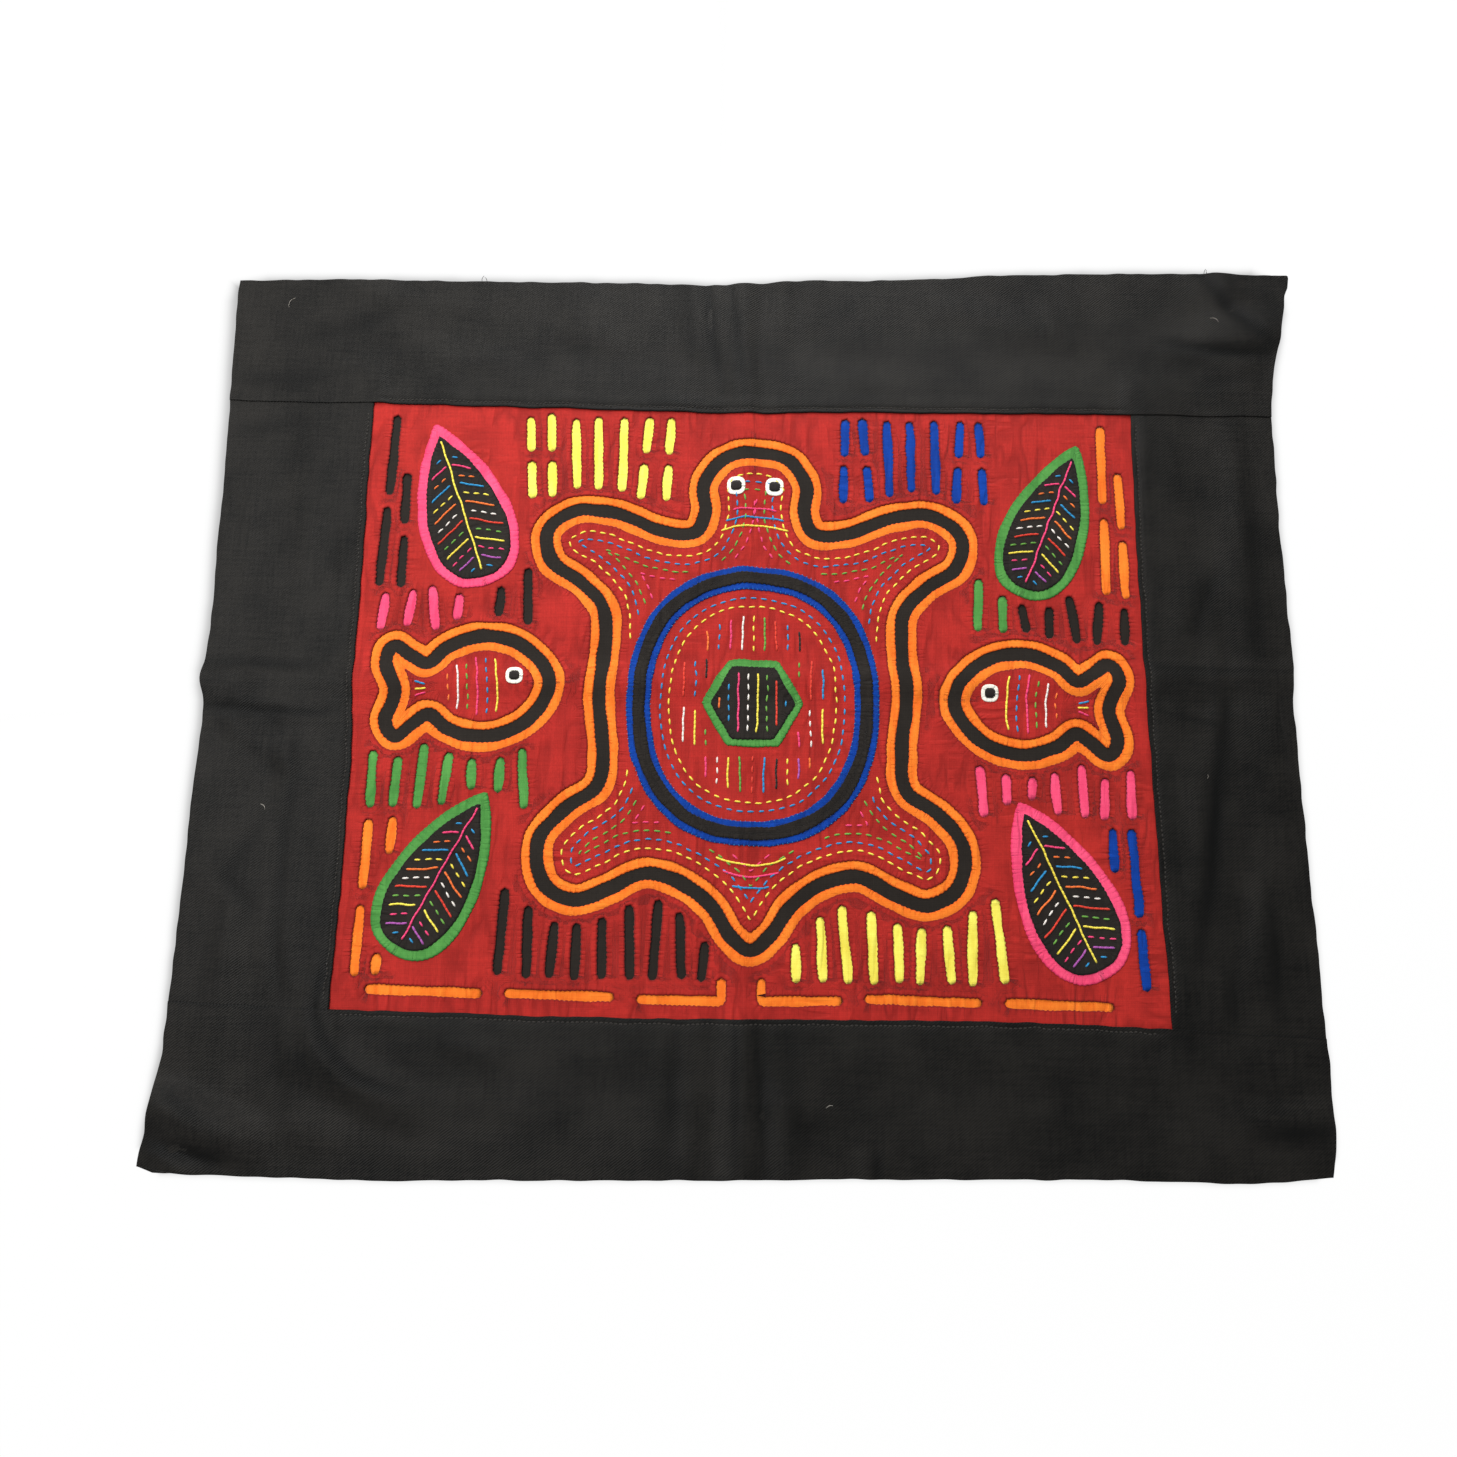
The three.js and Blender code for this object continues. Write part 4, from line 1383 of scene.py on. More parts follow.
def straight(start: Point, end: Point, spacing: float = 0.8) -> Array:
    """Points along a straight line."""
    a, b = np.array(start, float), np.array(end, float)
    count = max(2, int(np.linalg.norm(b - a) / spacing))
    return a + (b - a) * np.linspace(0.0, 1.0, count)[:, None]


def placed(points: Array, centre: Point, turn: float) -> Array:
    """Points turned by an angle in degrees and moved to a centre."""
    c, s = np.cos(np.radians(turn)), np.sin(np.radians(turn))
    return points @ np.array([[c, s], [-s, c]]) + np.array(centre)


# The picture's motifs.

TURTLE_HALF = (
    (0, 139), (18, 135), (28, 120), (27, 104), (33, 92),  # head and neck
    (51, 93), (74, 102), (96, 104), (112, 92), (109, 74), (92, 62),  # front flipper
    (80, 47), (79, 24), (81, 0), (78, -28), (80, -48),  # side of the body
    (96, -60), (109, -77), (106, -98), (90, -107), (72, -101), (55, -93),  # back flipper
    (37, -97), (21, -108), (10, -124), (0, -131),  # tail
)
FISH_HALF = (
    (48, 0), (41, 15), (25, 27), (3, 31), (-17, 25), (-29, 16),  # nose to wrist of the tail
    (-39, 21), (-50, 28), (-56, 18), (-50, 0),  # tail, as far as its notch
)


def both_sides(half: Rows, flip: Point) -> Array:
    """A half outline with its mirror image, without the two points on the mirror line."""
    rows = np.array(half, float)
    return np.vstack([rows, rows[-2:0:-1] * np.array(flip)])


@dataclass
class Channel:
    """A motif drawn by a black channel between two orange bands, with a red field inside."""

    name: str
    outline: Array
    seed: int

    def line(self, distance: float, spacing: float = EDGE_SPACING) -> Array:
        """The motif's outline moved out by a distance."""
        return moved_out(self.outline, distance, spacing)

    def sewn(self, distance: float, number: int) -> Array:
        """That line as a hand-sewn edge."""
        return hand_sewn(self.line(distance), self.seed + number)

    def build(self) -> Edge:
        """Makes the bands and the field.

        Returns:
            The edge that the motif cuts in the ground cloth.
        """
        half = SEAMS.channel / 2
        reach = half + SEAMS.band
        cut = Edge(self.sewn(reach, 0))
        red_edge = Edge(self.sewn(-reach, 1))
        hidden = reach + SEAMS.under
        bands = (
            ("outer", Edge(self.line(hidden, 2.5), True), Edge(self.sewn(half, 2))),
            ("inner", Edge(self.sewn(-half, 3)), Edge(self.line(-hidden, 2.5), True)),
        )
        for which, outer, hole in bands:
            name, nodes = f"{self.name}_{which}_band", (f"{self.name}_band_{which}",)
            CutCloth(name, outer, Layer.ORANGE, Dye.ORANGE, [hole], nodes, narrow=0.8).build()
        name, nodes = f"{self.name}_red_field", (f"{self.name}_field",)
        CutCloth(name, red_edge, Layer.RED, Dye.RED, nodes=nodes).build()
        return cut


SEWN_TOP = STACK.red + STACK.red_ply  # where embroidery on the red lies
APPLIED_TOP = STACK.applied_top + STACK.applied_ply
EYE_TOP = STACK.applied + STACK.applied_ply + 0.15


def oval(centre: Point, a: float, b: float, squareness: float) -> Array:
    """A closed curve between an ellipse and a rectangle: |x/a|^n + |y/b|^n = 1."""
    angle = np.linspace(0.0, 2.0 * np.pi, 240, endpoint=False)
    c, s = np.cos(angle), np.sin(angle)
    power = 2.0 / squareness
    x, y = a * np.sign(c) * np.abs(c) ** power, b * np.sign(s) * np.abs(s) ** power
    return np.stack([x, y], -1) + np.array(centre)


def make_eye(name: str, shape: Array, below: str) -> None:
    """A small white cloth sewn on a red field."""
    edge = Edge(evenly(shape, 1.0))
    cloth = CutCloth(name, edge, Layer.APPLIED, Dye.WHITE, rests_on=below, step=1.6, narrow=0.6)
    cloth.build()


LINE_COLOURS = (
    Floss.ORANGE, Floss.BLUE, Floss.PINK, Floss.WHITE, Floss.YELLOW, Floss.GREEN, Floss.RED,
    Floss.BLUE, Floss.BLACK, Floss.YELLOW, Floss.VIOLET,
)


@dataclass
class Turtle:
    """The turtle in the middle: its channel outline, ringed shell, six-sided patch and
    embroidery."""

    centre: Point = (0.0, -3.0)
    half_width: float = 60.0
    half_length: float = 69.0
    squareness: float = 2.3
    ring: float = 13.0
    strip: float = 6.5
    scute: float = 27.0
    scute_border: float = 4.5
    patch_pitch: float = 5.0  # of the lines on the patch
    shell_pitch: float = 6.1  # and on the shell
    shell_rows: Rows = ((-52, -31), (-27, -5), (-1, 21), (25, 46))

    def channel(self) -> Channel:
        """Its outline."""
        outline = smooth_loop(both_sides(TURTLE_HALF, (-1, 1)))
        return Channel("turtle", outline, 100)

    def shell(self, inset: float) -> Array:
        """The middle line of the shell's ring, moved out by a distance."""
        return oval(
            self.centre, self.half_width + inset, self.half_length + inset, self.squareness
        )

    def hexagon(self, radius: float) -> Array:
        """The six-sided patch, with its corners a little rounded."""
        angle = np.radians(np.arange(0, 360, 60))
        corners = np.stack([np.cos(angle), np.sin(angle)], -1) * radius
        pairs = zip(corners, np.roll(corners, -1, 0))
        sides = np.vstack([between(c, d, t) for c, d in pairs for t in (0.08, 0.5, 0.92)])
        return smooth_loop((sides + np.array(self.centre)).tolist())

    def build(self) -> None:
        """Makes the shell's ring and the patch."""
        low, high, below = Layer.APPLIED, Layer.APPLIED_TOP, "turtle_red_field"
        rings = (
            ("shell_ring_cloth", self.ring, low, Dye.BLUE, "shell_ring"),
            ("shell_ring_line", self.strip, high, Dye.INK, "shell_ring_strip"),
        )
        for number, (name, width, layer, dye, node) in enumerate(rings):
            outer, inner = (
                Edge(hand_sewn(evenly(self.shell(way * width), EDGE_SPACING), seed + 4 * number))
                for way, seed in ((0.5, 200), (-0.5, 202))
            )
            CutCloth(name, outer, layer, dye, [inner], (node,), below, narrow=0.85).build()
        patches = (
            ("scute_cloth", self.scute, low, Dye.GREEN, "scute_edge"),
            ("scute_top", self.scute - self.scute_border, high, Dye.INK, "scute_blade"),
        )
        for number, (name, radius, layer, dye, node) in enumerate(patches):
            loop = evenly(self.hexagon(radius), EDGE_SPACING)
            edge = Edge(hand_sewn(loop, 220 + number))
            CutCloth(name, edge, layer, dye, nodes=(node,), rests_on=below).build()

    def sew(self, needlework: Needlework) -> None:
        """Echo lines in the flippers, rounds and rays on the shell, lines on the patch."""
        channel = self.channel()
        keep_off = self.shell(self.ring / 2 + 3.5)
        colours = (Floss.YELLOW, Floss.BLUE, Floss.GREEN, Floss.PINK)
        echoes = zip((13.0, 17.5, 22.0, 26.5), colours)
        for inset, thread in echoes:
            path = channel.line(-inset, 0.8)
            path = np.vstack([path, path[:1]])
            free = ~inside(path, keep_off)
            needlework.sew(runs_where(path, free, 12.0), thread, RUNNING, SEWN_TOP)
        self.sew_shell(needlework)
        patch = moved_out(self.hexagon(self.scute - self.scute_border), -2.2)
        for number, thread in enumerate(LINE_COLOURS[:8]):
            x = (number - 3.5) * self.patch_pitch
            path = straight((x, -40.0), (x, 34.0))
            lines = runs_where(path, inside(path, patch), 5.0)
            kind = RUNNING if number % 2 else OUTLINE
            needlework.sew(lines, thread, kind, APPLIED_TOP)
        for width, level in ((self.ring, STACK.applied), (self.strip, STACK.applied_top)):
            thread = Floss.BLUE if width == self.ring else Floss.BLACK
            for way in (-0.5, 0.5):
                edge = self.shell(way * (width - 0.7))
                top = level + STACK.applied_ply * 1.05
                needlework.sew_across(edge, thread, SLIP, top, STITCH_PITCH)
        self.sew_face(needlework)

    def sew_shell(self, needlework: Needlework) -> None:
        """Two rounds of running stitches, and inside them rows of short upright lines."""
        for inset, thread in ((5.0, Floss.BLUE), (9.5, Floss.YELLOW)):
            loop = self.shell(-self.ring / 2 - inset)
            path = np.vstack([loop, loop[:1]])
            needlework.sew([path], thread, RUNNING, SEWN_TOP)
        room = self.shell(-self.ring / 2 - 14.0)
        kept_clear = moved_out(self.hexagon(self.scute), 4.0)
        count = 13
        for number in range(count):
            x = (number - (count - 1) / 2) * self.shell_pitch
            for row, (low, high) in enumerate(self.shell_rows):
                path = straight((x, low), (x + 0.6 * np.sin(number + row), high))
                free = inside(path, room) & ~inside(path, kept_clear)
                thread = LINE_COLOURS[(number + 3 * row) % len(LINE_COLOURS)]
                kind = RUNNING if (number + row) % 3 == 0 else OUTLINE
                needlework.sew(runs_where(path, free, 6.0), thread, kind, SEWN_TOP)

    def sew_face(self, needlework: Needlework) -> None:
        """Two round eyes with stitches about them, and lines on the head and the tail."""
        for side, which in ((-1.0, "left"), (1.0, "right")):
            centre = (side * 10.5, 119.0)
            make_eye(f"turtle_eye_{which}", oval(centre, 5.0, 5.2, 2.8), "turtle_red_field")
            needlework.fill(np.array(centre), 2.9, Floss.BLACK, EYE_TOP)
        pink, blue, yellow = Floss.PINK, Floss.BLUE, Floss.YELLOW
        arcs = (  # threads, first height and half width with their steps, points, bend
            ((pink, blue, yellow), (106.0, -5.0), (13.0, 3.0), 60, (-1.0, 11.0)),
            ((yellow, pink, blue), (-88.0, -6.0), (19.0, -4.5), 50, (1.0, 9.0)),
        )
        for threads, (y, drop), (half, wider), count, (way, roundness) in arcs:
            for number, thread in enumerate(threads):
                reach = half + wider * number
                x = np.linspace(-reach, reach, count)
                arc = np.stack([x, y + drop * number + way * (x / roundness) ** 2], -1)
                needlework.sew([arc], thread, OUTLINE, SEWN_TOP)


@dataclass
class Fish:
    """A fish in profile, with its channel outline, eye and scale lines."""

    name: str
    centre: Point
    turn: float
    scale: Point
    seed: int
    eye_at: Point = (26.0, 5.0)

    def local(self, points: Array) -> Array:
        """Points of the fish as drawn, placed in the picture."""
        return placed(np.asarray(points, float) * np.array(self.scale), self.centre, self.turn)

    def eye(self) -> Array:
        """The middle of its eye."""
        return self.local(np.array([self.eye_at]))[0]

    def channel(self) -> Channel:
        """Its outline."""
        outline = smooth_loop(self.local(both_sides(FISH_HALF, (1, -1))).tolist())
        return Channel(self.name, outline, self.seed)

    def build(self) -> None:
        """Makes the eye."""
        shape = oval(tuple(self.eye()), 4.6, 4.6, 2.8)
        make_eye(f"{self.name}_eye", shape, f"{self.name}_red_field")

    def sew(self, needlework: Needlework) -> None:
        """Curved lines down the body, and the dark of the eye."""
        field_line = moved_out(self.channel().outline, -SEAMS.channel / 2 - SEAMS.band - 2.4)
        colours = (Floss.YELLOW, Floss.BLUE, Floss.PINK, Floss.GREEN, Floss.WHITE, Floss.ORANGE)
        y = np.linspace(-30.0, 30.0, 110)
        for number, thread in enumerate(colours):
            x = 15.0 - 6.2 * number - (y / 14.0) ** 2
            path = self.local(np.stack([x, y], -1))
            lines = runs_where(path, inside(path, field_line), 5.0)
            kind = RUNNING if number % 2 else OUTLINE
            needlework.sew(lines, thread, kind, SEWN_TOP)
        for number, thread in enumerate((Floss.PINK, Floss.YELLOW, Floss.BLUE)):
            x = np.linspace(-50.0, -30.0, 40)
            path = self.local(np.stack([x, (number - 1.0) * 6.0 * (-x - 22.0) / 20.0], -1))
            lines = runs_where(path, inside(path, field_line), 4.0)
            needlework.sew(lines, thread, OUTLINE, SEWN_TOP)
        needlework.fill(self.eye(), 2.6, Floss.BLACK, EYE_TOP)


@dataclass
class Leaf:
    """An applied leaf: a coloured cloth, a smaller black one on it, and sewn veins."""

    name: str
    centre: Point
    turn: float
    length: float
    width: float
    dye: Dye
    rib: Floss
    seed: int
    border: float = 5.0
    blunt: float = 0.42  # power of the outline at its base
    pointed: float = 0.82  # and at its tip
    vein_out: float = 24.0  # how far a vein runs out, before the edge cuts it short
    vein_back: float = 12.0

    def bulge(self, share: Array) -> Array:
        """Half width along the leaf: share^blunt (1 - share)^pointed, scaled to its width."""
        peak = self.blunt / (self.blunt + self.pointed)
        most = peak**self.blunt * (1.0 - peak) ** self.pointed
        return self.width / 2 * share**self.blunt * (1.0 - share) ** self.pointed / most

    def outline(self) -> Array:
        """The leaf's edge, from its blunt base to its tip and back."""
        share = np.linspace(0.0, 1.0, 90) ** 1.6
        side = np.stack([self.bulge(share), self.length * (share - 0.5)], -1)
        loop = np.vstack([side, side[-2:0:-1] * np.array([-1.0, 1.0])])
        return anticlockwise(placed(loop, self.centre, self.turn))

    def build(self) -> None:
        """Makes both cloths."""
        whole, top = evenly(self.outline(), EDGE_SPACING), moved_out(self.outline(), -self.border)
        cloths = (
            ("cloth", "edge", whole, Layer.APPLIED, self.dye, "red_ground"),
            ("top", "blade", top, Layer.APPLIED_TOP, Dye.INK, f"{self.name}_cloth"),
        )
        for number, (part, node, loop, layer, dye, below) in enumerate(cloths):
            name, nodes = f"{self.name}_{part}", (f"{self.name}_{node}",)
            edge = Edge(hand_sewn(loop, self.seed + number))
            CutCloth(name, edge, layer, dye, nodes=nodes, rests_on=below).build()

    def sew(self, needlework: Needlework) -> None:
        """A midrib, and veins that slope from it to the edge, plain and dashed by turns."""
        inner = moved_out(self.outline(), -self.border - 2.0)
        low, high = -self.length / 2 + self.border + 3.0, self.length / 2 - self.border - 8.0
        veins = (
            Floss.BLUE, Floss.VIOLET, Floss.PINK, Floss.YELLOW, Floss.GREEN, Floss.RED,
            Floss.WHITE, Floss.ORANGE, Floss.YELLOW, Floss.BLUE, Floss.ORANGE, Floss.PINK,
            Floss.BLUE, Floss.ORANGE,
        )
        pitch = (high - low) / len(veins)
        for number, thread in enumerate(veins):
            y = low + (number + 0.7) * pitch
            for side in (-1.0, 1.0):
                start, end = (side * 1.6, y), (side * self.vein_out, y - self.vein_back)
                path = placed(straight(start, end), self.centre, self.turn)
                path = path[inside(path, inner)]
                if len(path) > 4:
                    kind = OUTLINE if number % 2 else RUNNING
                    needlework.sew([path], thread, kind, APPLIED_TOP)
        rib = placed(straight((0.0, low), (0.0, high + 4.0)), self.centre, self.turn)
        needlework.sew([rib], self.rib, OUTLINE, APPLIED_TOP + 0.15)


# The slits cut in the ground cloth.


@dataclass(frozen=True)
class Bars:
    """A patch of ground filled with upright slits of one colour, cut where they fit."""

    x: Point
    y: Point
    pitch: float
    dye: Dye
    longest: float = 44.0


BARS = (
    Bars((-130, -42), (112, 158), 13.5, Dye.YELLOW),
    Bars((42, 130), (112, 158), 13.5, Dye.BLUE),
    Bars((-204, -186), (60, 156), 12.0, Dye.INK),
    Bars((186, 204), (60, 156), 12.0, Dye.ORANGE),
    Bars((-140, -116), (40, 112), 12.0, Dye.INK),
    Bars((116, 140), (40, 112), 12.0, Dye.GREEN),
    Bars((-204, -112), (34, 58), 12.5, Dye.PINK),
    Bars((112, 204), (34, 58), 12.5, Dye.INK),
    Bars((-204, -112), (-60, -26), 12.5, Dye.GREEN),
    Bars((112, 204), (-60, -26), 12.5, Dye.PINK),
    Bars((-204, -180), (-146, -60), 12.0, Dye.ORANGE),
    Bars((180, 204), (-146, -60), 12.0, Dye.BLUE),
    Bars((-132, -16), (-145, -104), 13.0, Dye.INK),
    Bars((16, 132), (-145, -104), 13.0, Dye.YELLOW),
)
BENT = (  # slits with a corner, or level ones
    (Dye.ORANGE, ((-190, -153), (-136, -154))),
    (Dye.ORANGE, ((-120, -154), (-70, -155))),
    (Dye.ORANGE, ((-54, -156), (-14, -156), (-14, -147))),
    (Dye.ORANGE, ((6, -147), (6, -156), (44, -155))),
    (Dye.ORANGE, ((60, -154), (114, -155))),
    (Dye.ORANGE, ((130, -155), (180, -156))),
)


@dataclass
class Slits:
    """The narrow openings in the red ground and the coloured cloth that shows in them."""

    keep_off: list[tuple[Array, float]]  # outlines, and how far each motif reaches beyond
    half: float = 2.4
    clear: float = 5.4
    beyond: float = 1.4  # how far the coloured cloth runs on under the slit's edge
    gap: float = 9.0  # between two slits cut end to end
    cuts: list[tuple[Dye, Array]] = field(default_factory=list)

    def clearance(self, points: Array) -> Array:
        """Distance from each point to the nearest motif, seam or slit, 0 inside a motif."""
        found = [
            RIGHT_SEAM.at(points[:, 1]) - points[:, 0],
            points[:, 0] - LEFT_SEAM.at(points[:, 1]),
            TOP_SEAM.at(points[:, 0]) - points[:, 1],
            points[:, 1] - BOTTOM_SEAM.at(points[:, 0]),
        ]
        for outline, reach in self.keep_off:
            away = nearest(points, outline) - reach
            found.append(np.where(inside(points, outline), 0.0, away))
        for _, path in self.cuts:
            found.append(nearest(points, path) - self.half - 1.0)
        return np.min(found, axis=0)

    def plan(self) -> None:
        """Lays out the slits: the bent ones as tabled, then bars wherever there is room."""
        draw = np.random.default_rng(31)
        window = np.hanning(13)
        for dye, corners in BENT:
            path = np.array(corners, float)
            path = points_at(path, np.arange(0.0, lengths_along(path, False)[-1], 0.5), False)
            padded = np.pad(path, ((6, 6), (0, 0)), mode="reflect", reflect_type="odd")
            soft = [np.convolve(column, window / window.sum(), "valid") for column in padded.T]
            self.cuts.append((dye, np.stack(soft, -1)))
        for bars in BARS:
            count = max(1, round((bars.x[1] - bars.x[0]) / bars.pitch))
            spots = bars.x[0] + (np.arange(count) + 0.5) * (bars.x[1] - bars.x[0]) / count
            for spot in spots:
                x = spot + draw.uniform(-0.8, 0.8)
                lean = draw.uniform(-2.0, 2.0)
                line = straight((x - lean, bars.y[0]), (x + lean, bars.y[1]), 0.5)
                room = self.clearance(line) > self.clear
                for run in runs_where(line, room, 5.0):
                    free = run[self.clearance(run) > self.clear]
                    if len(free) > 10:
                        self.cut_bars(free, bars, draw)

    def cut_bars(self, run: Array, bars: Bars, draw: np.random.Generator) -> None:
        """Cuts one slit in a free stretch, or two with a gap if the stretch is long."""
        total = lengths_along(run, False)[-1]
        count = 1 if total <= bars.longest else 2
        each = (total - self.gap * (count - 1)) / count
        for number in range(count):
            start = number * (each + self.gap) + draw.uniform(0.0, 0.06) * each
            end = number * (each + self.gap) + each * draw.uniform(0.93, 1.0)
            where = np.linspace(start, max(end, start + 1.5), 24)
            self.cuts.append((bars.dye, points_at(run, where, False)))

    def opening(self, path: Array, seed: int) -> Array:
        """The slit's edge: its two sides and round ends, as a hand sews them."""
        run, side = directions(path)
        share = np.linspace(-1.0, 1.0, len(path))[:, None]
        side = side * self.half
        side = side * (1.0 - 0.1 * share**4) * (1.0 + 0.05 * np.sin(seed + 3.0 * share))
        turn = np.linspace(0.0, np.pi, 9)[1:-1, None]
        first = path[0] + side[0] * np.cos(turn) - run[0] * self.half * np.sin(turn)
        last = path[-1] - side[-1] * np.cos(turn) + run[-1] * self.half * np.sin(turn)
        loop = np.vstack([path - side, last, (path + side)[::-1], first])
        loop = loop[nearest(loop, path) > 0.8 * self.half]
        return hand_sewn(evenly(anticlockwise(loop), 1.2), seed, 0.26, 0.24)

    def edges(self) -> list[Edge]:
        """The openings that the slits cut in the ground cloth."""
        return [Edge(self.opening(path, 300 + n)) for n, (_, path) in enumerate(self.cuts)]

    def build(self) -> None:
        """Lays a strip of cloth of its colour under each slit, one piece for each colour."""
        for dye in dict.fromkeys(dye for dye, _ in self.cuts):
            if dye is Dye.INK:
                continue
            paths = [path for kind, path in self.cuts if kind is dye]
            places, faces = joined([self.backing(path) for path in paths])
            near = {"edge_in": np.full(len(places), FAR_IN)}
            name = f"{dye.name.lower()}_slit_cloth"
            piece = new_piece(name, places, faces, dye.value, near)

    def backing(self, path: Array) -> tuple[Array, Array]:
        """A strip of cloth along a slit and a little wider and longer."""
        total = lengths_along(path, False)[-1]
        run, _ = directions(path)
        reach = self.half + self.beyond
        ends = (path[:1] - run[:1] * reach, path[-1:] + run[-1:] * reach)
        line = np.vstack([ends[0], path, ends[1]])
        count = max(4, int(total / 4.0) + 3)
        where = np.linspace(0.0, total + 2 * reach, count)
        line = points_at(line, where, False)
        _, side = directions(line)
        across = np.array([-1.0, -0.9, 0.0, 0.9, 1.0]) * reach
        grid = line[:, None] + side[:, None] * across[None, :, None]
        x, y = grid[..., 0], grid[..., 1]
        roll = np.ones_like(x)
        roll[[0, -1]] = 0.0
        roll[:, [0, -1]] = 0.0
        low = STACK.patch + cloth_lie(x, y) + 0.5 * STACK.patch_ply * (1.0 - roll)
        return closed_sheet(x, y, low, STACK.patch_ply * roll)


@dataclass
class Picture:
    """The sewn picture: ground, motifs, leaves, slits and needlework."""

    turtle: Turtle = field(default_factory=Turtle)
    fishes: tuple[Fish, ...] = (
        Fish("fish_left", (-147, 4), 4, (0.83, 0.88), 120),
        Fish("fish_right", (146, -1), -3, (-0.83, 0.88), 140),
    )
    leaves: tuple[Leaf, ...] = (
        Leaf("leaf_top_left", (-160, 106), 20, 98, 52, Dye.PINK, Floss.YELLOW, 160),
        Leaf("leaf_top_right", (160, 102), -21, 94, 47, Dye.GREEN, Floss.PINK, 164),
        Leaf("leaf_bottom_left", (-158, -94), -27, 94, 49, Dye.GREEN, Floss.PINK, 168),
        Leaf("leaf_bottom_right", (158, -98), 24, 98, 52, Dye.PINK, Floss.YELLOW, 172),
    )

    def margin(self) -> Array:
        """The ground cloth's own edge, a lap beyond the seams."""
        lap = SEAMS.lap
        x = np.arange(-205.0, 205.0, 3.0)
        y = np.arange(-160.0, 160.0, 3.0)
        sides = (
            np.stack([x, BOTTOM_SEAM.at(x) - lap], -1),
            np.stack([RIGHT_SEAM.at(y) + lap, y], -1),
            np.stack([x, TOP_SEAM.at(x) + lap], -1)[::-1],
            np.stack([LEFT_SEAM.at(y) - lap, y], -1)[::-1],
        )
        return np.vstack(sides)

    def build(self, needlework: Needlework) -> None:
        """Makes every cloth of the picture and sews it."""
        channels = [self.turtle.channel(), *(fish.channel() for fish in self.fishes)]
        reach = SEAMS.channel / 2 + SEAMS.band
        keep_off = [(evenly(c.outline, 2.0), reach) for c in channels]
        keep_off += [(evenly(leaf.outline(), 2.0), 0.0) for leaf in self.leaves]
        slits = Slits(keep_off)
        slits.plan()
        holes = [channel.build() for channel in channels]
        margin, holes = Edge(self.margin(), True), holes + slits.edges()
        CutCloth("red_ground", margin, Layer.RED, Dye.RED, holes, ("ground_cloth",)).build()
        slits.build()
        for motif in (self.turtle, *self.fishes, *self.leaves):
            motif.build()
            motif.sew(needlework)


# The studio.

LAMPS = (  # name, place in metres, size and watts: a window at the far side, a lamp on the left
    ("window", (-0.07, 1.0, 0.66), 0.8, 13.7),
    ("side_lamp", (-0.72, 0.24, 1.02), 0.4, 9.4),
)
PAPER_STEPS = np.array([-2.0, 0.0, 0.3, 0.6, 0.9, 1.2, 1.6, 2.0, 2.8, 8.0, 40.0, 700.0])


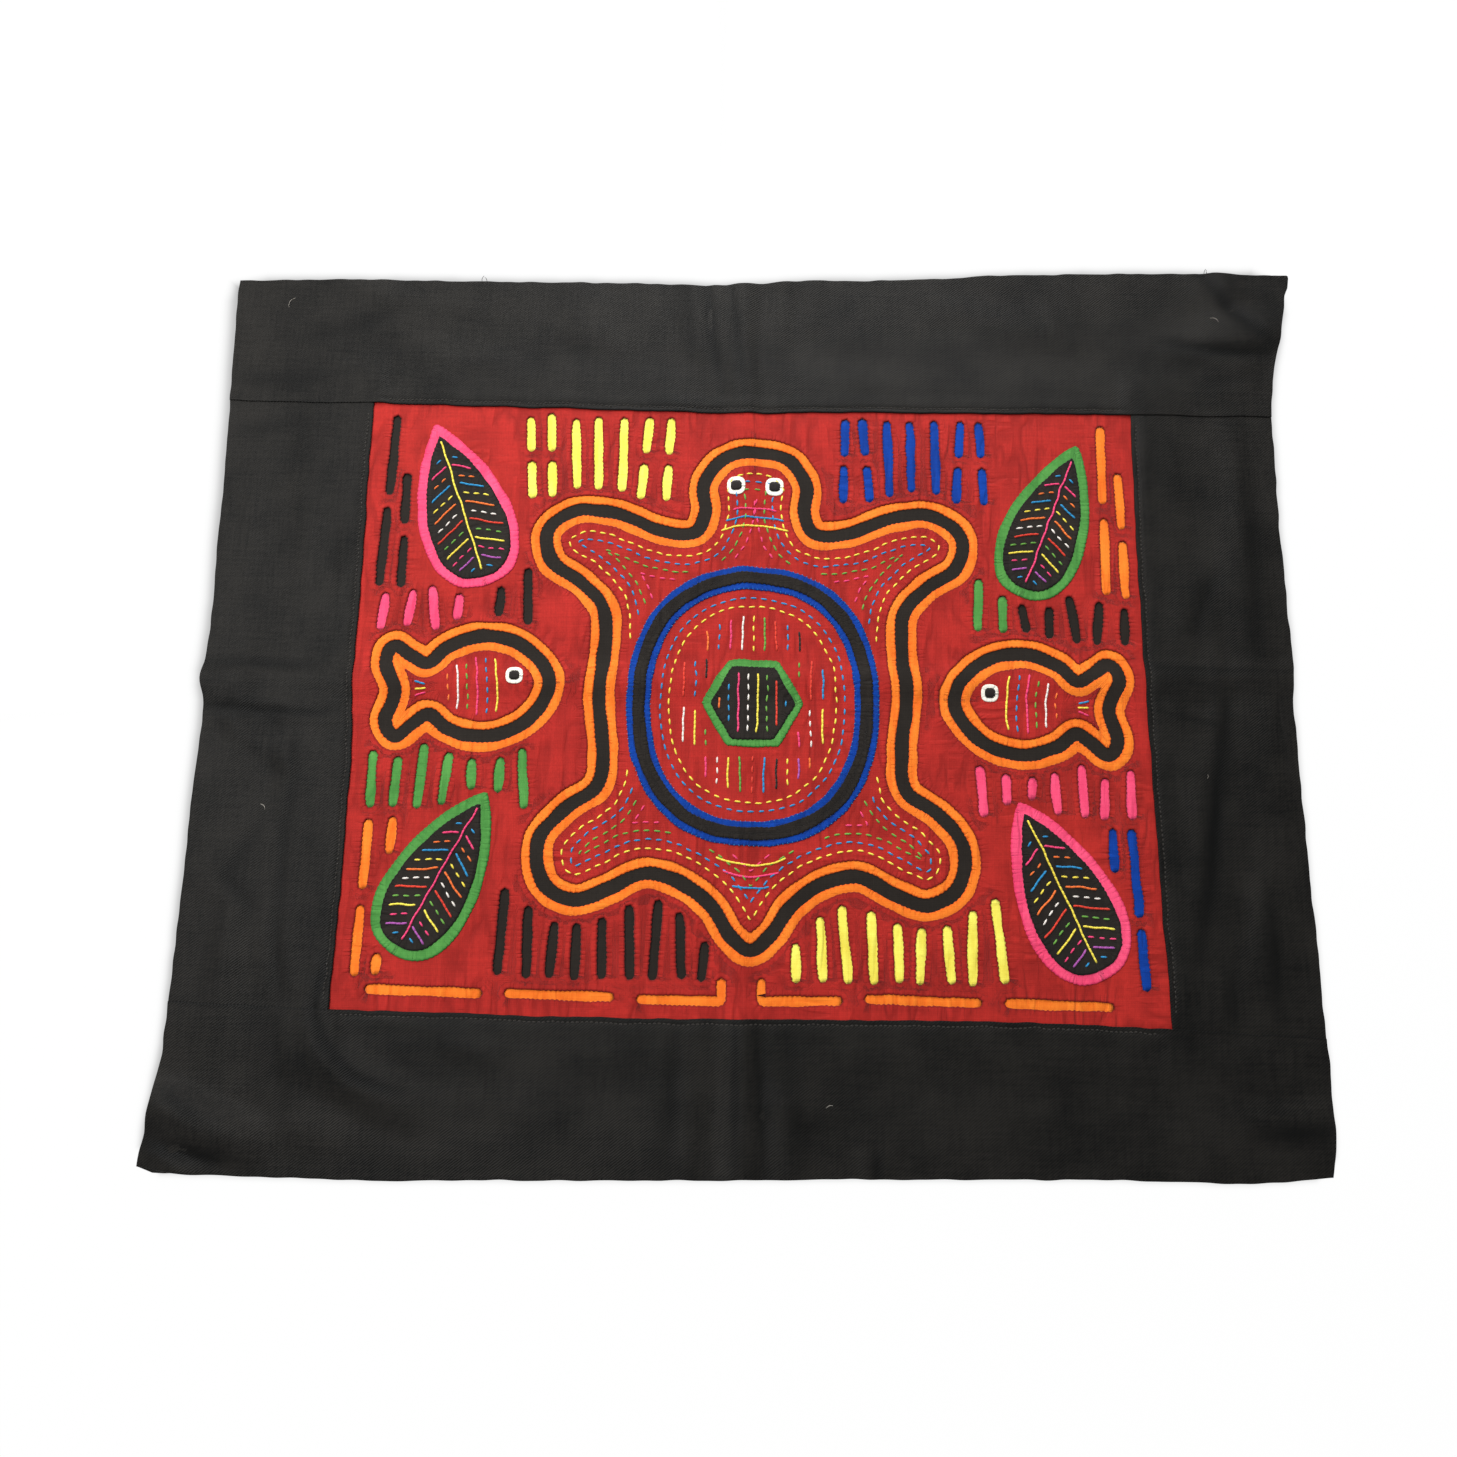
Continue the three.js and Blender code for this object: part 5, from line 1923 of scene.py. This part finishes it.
@dataclass
class Studio:
    """Floor, light and the photograph's camera."""

    camera_at: Triple = (-13.4, -158.7, 640.3)
    right: Triple = (0.99986, 0.01576, 0.00483)
    up: Triple = (-0.01643, 0.976, 0.21713)
    forward: Triple = (0.00129, 0.21718, -0.97613)
    focal_px: float = 1250.0
    image_px: float = 1457.0

    def floor(self) -> None:
        """White paper just under the cloth.

        It is rings of points about the cloth's outline, and each holds how much of the paper's
        glow a painted shadow of the cloth's edge leaves there: 1 - depth exp(-(distance /
        reach)^2), where depth and reach are larger on the far and the left side.
        """
        outline = self.outline()
        normal = outward(outline)
        left = np.clip(-normal[:, 0], 0.0, None)
        far = np.clip(normal[:, 1], 0.0, None)
        right = np.clip(normal[:, 0], 0.0, None)
        rise = (outline[:, 1] + 240.0) / 490.0
        near = np.clip(-normal[:, 1], 0.0, None)
        depth = (0.43 + 0.06 * rise) * left + (0.13 + 0.22 * rise) * right
        depth = depth + 0.37 * far + 0.13 * near
        reach = 1.7 + (1.0 + 2.5 * rise) * left + 1.2 * rise * right + 1.5 * far
        steps = PAPER_STEPS[:, None]
        away = steps * np.where(steps < 3.0, reach, 6.0)
        places = outline[None] + normal[None] * away[..., None]
        light = 1.0 - depth * np.exp(-np.clip(steps, 0.0, None) ** 2)
        count = len(outline)
        index = np.arange(places.shape[0] * count).reshape(-1, count)
        faces = quads(np.hstack([index, index[:, :1]]))[:, ::-1]
        flat = places.reshape(-1, 2)
        low = np.full((len(flat), 1), -0.2)
        mesh = bpy.data.meshes.new("floor")
        middle = [index[0, ::-1].tolist()]
        mesh.from_pydata(to_frame(np.hstack([flat, low])), [], faces.tolist() + middle)
        layer = mesh.attributes.new("light_left", "FLOAT", "POINT")
        layer.data.foreach_set("value", light.ravel().astype(np.float32))
        mesh.materials.append(self.paper())
        floor = bpy.data.objects.new("floor", mesh)
        bpy.context.scene.collection.objects.link(floor)

    @staticmethod
    def outline() -> Array:
        """The cloth's outline, anticlockwise, with its corners cut by a few millimetres."""
        x = np.linspace(-284.0, 278.0, 90)
        y = np.linspace(-228.0, 234.0, 74)
        sides = (
            np.stack([x, BOTTOM_EDGE.at(x)], -1),
            np.stack([RIGHT_EDGE.at(y), y], -1),
            np.stack([x + 8.0, TOP_EDGE.at(x)], -1)[::-1],
            np.stack([LEFT_EDGE.at(y), y], -1)[::-1],
        )
        return evenly(np.vstack(sides), 8.0)

    @staticmethod
    def paper() -> bpy.types.Material:
        """White paper. It glows a little, so that it stays white where the lamps' light falls off,
        and its glow is painted darker about the cloth's edge as a painted shadow, as in a picture
        with its background cleared."""
        material, add = blank_material("white_paper")
        # painted shadow: the share of the glow left about the cloth's edge
        left = add("Attribute", (), "Fac", attribute_name="light_left")
        colours = {0: left, 6: linear("000000"), 7: linear("ffffff")}
        look = {
            "Base Color": linear("202020"),
            "Roughness": 0.9,
            "Specular IOR Level": 0.1,
            "Emission Color": add("Mix", colours, 2, data_type="RGBA"),
            "Emission Strength": 0.98,
        }
        add("OutputMaterial", {"Surface": add("BsdfPrincipled", look)})
        return material

    def area_light(self, name: str, at: Triple, size: float, watts: float) -> None:
        """A square soft light that faces the panel."""
        data = bpy.data.lights.new(name, "AREA")
        data.shape = "SQUARE"
        data.size = size
        data.energy = watts
        light = bpy.data.objects.new(name, data)
        light.location = at
        light.rotation_mode = "QUATERNION"
        light.rotation_quaternion = Vector(at).to_track_quat("Z", "Y")
        bpy.context.scene.collection.objects.link(light)

    def light(self) -> None:
        """A window beyond the far edge, a weaker lamp on the left, and a pale room."""
        for lamp in LAMPS:
            self.area_light(*lamp)
        world = bpy.data.worlds.new("room")
        world.use_nodes = True
        background = world.node_tree.nodes["Background"]
        background.inputs["Color"].default_value = linear("f4f6fa")
        background.inputs["Strength"].default_value = 0.4
        bpy.context.scene.world = world
        bpy.context.scene.view_settings.view_transform = "Standard"

    def camera(self) -> None:
        """The camera that the picture's corners and seams in the photograph give."""
        data = bpy.data.cameras.new("camera")
        data.sensor_width = 36.0
        data.lens = data.sensor_width * self.focal_px / self.image_px
        camera = bpy.data.objects.new("camera", data)
        axes = np.column_stack([self.right, self.up, -np.array(self.forward)])
        place = Matrix(axes.tolist()).to_4x4()
        place.translation = Vector(to_frame(np.array(self.camera_at)).tolist())
        camera.matrix_world = place
        bpy.context.scene.collection.objects.link(camera)
        bpy.context.scene.camera = camera

    def build(self) -> None:
        """Sets up all of it."""
        self.floor()
        self.light()
        self.camera()


def main() -> None:
    """Builds the studio, the cloth and the sewing, in that order."""
    logging.basicConfig(level=logging.INFO, format="%(name)s: %(message)s")
    Studio().build()
    needlework = Needlework()
    BaseCloth().build()
    Picture().build(needlework)
    border = Border()
    border.build()
    border.sew(needlework)
    needlework.build()


if __name__ == "__main__":
    main()
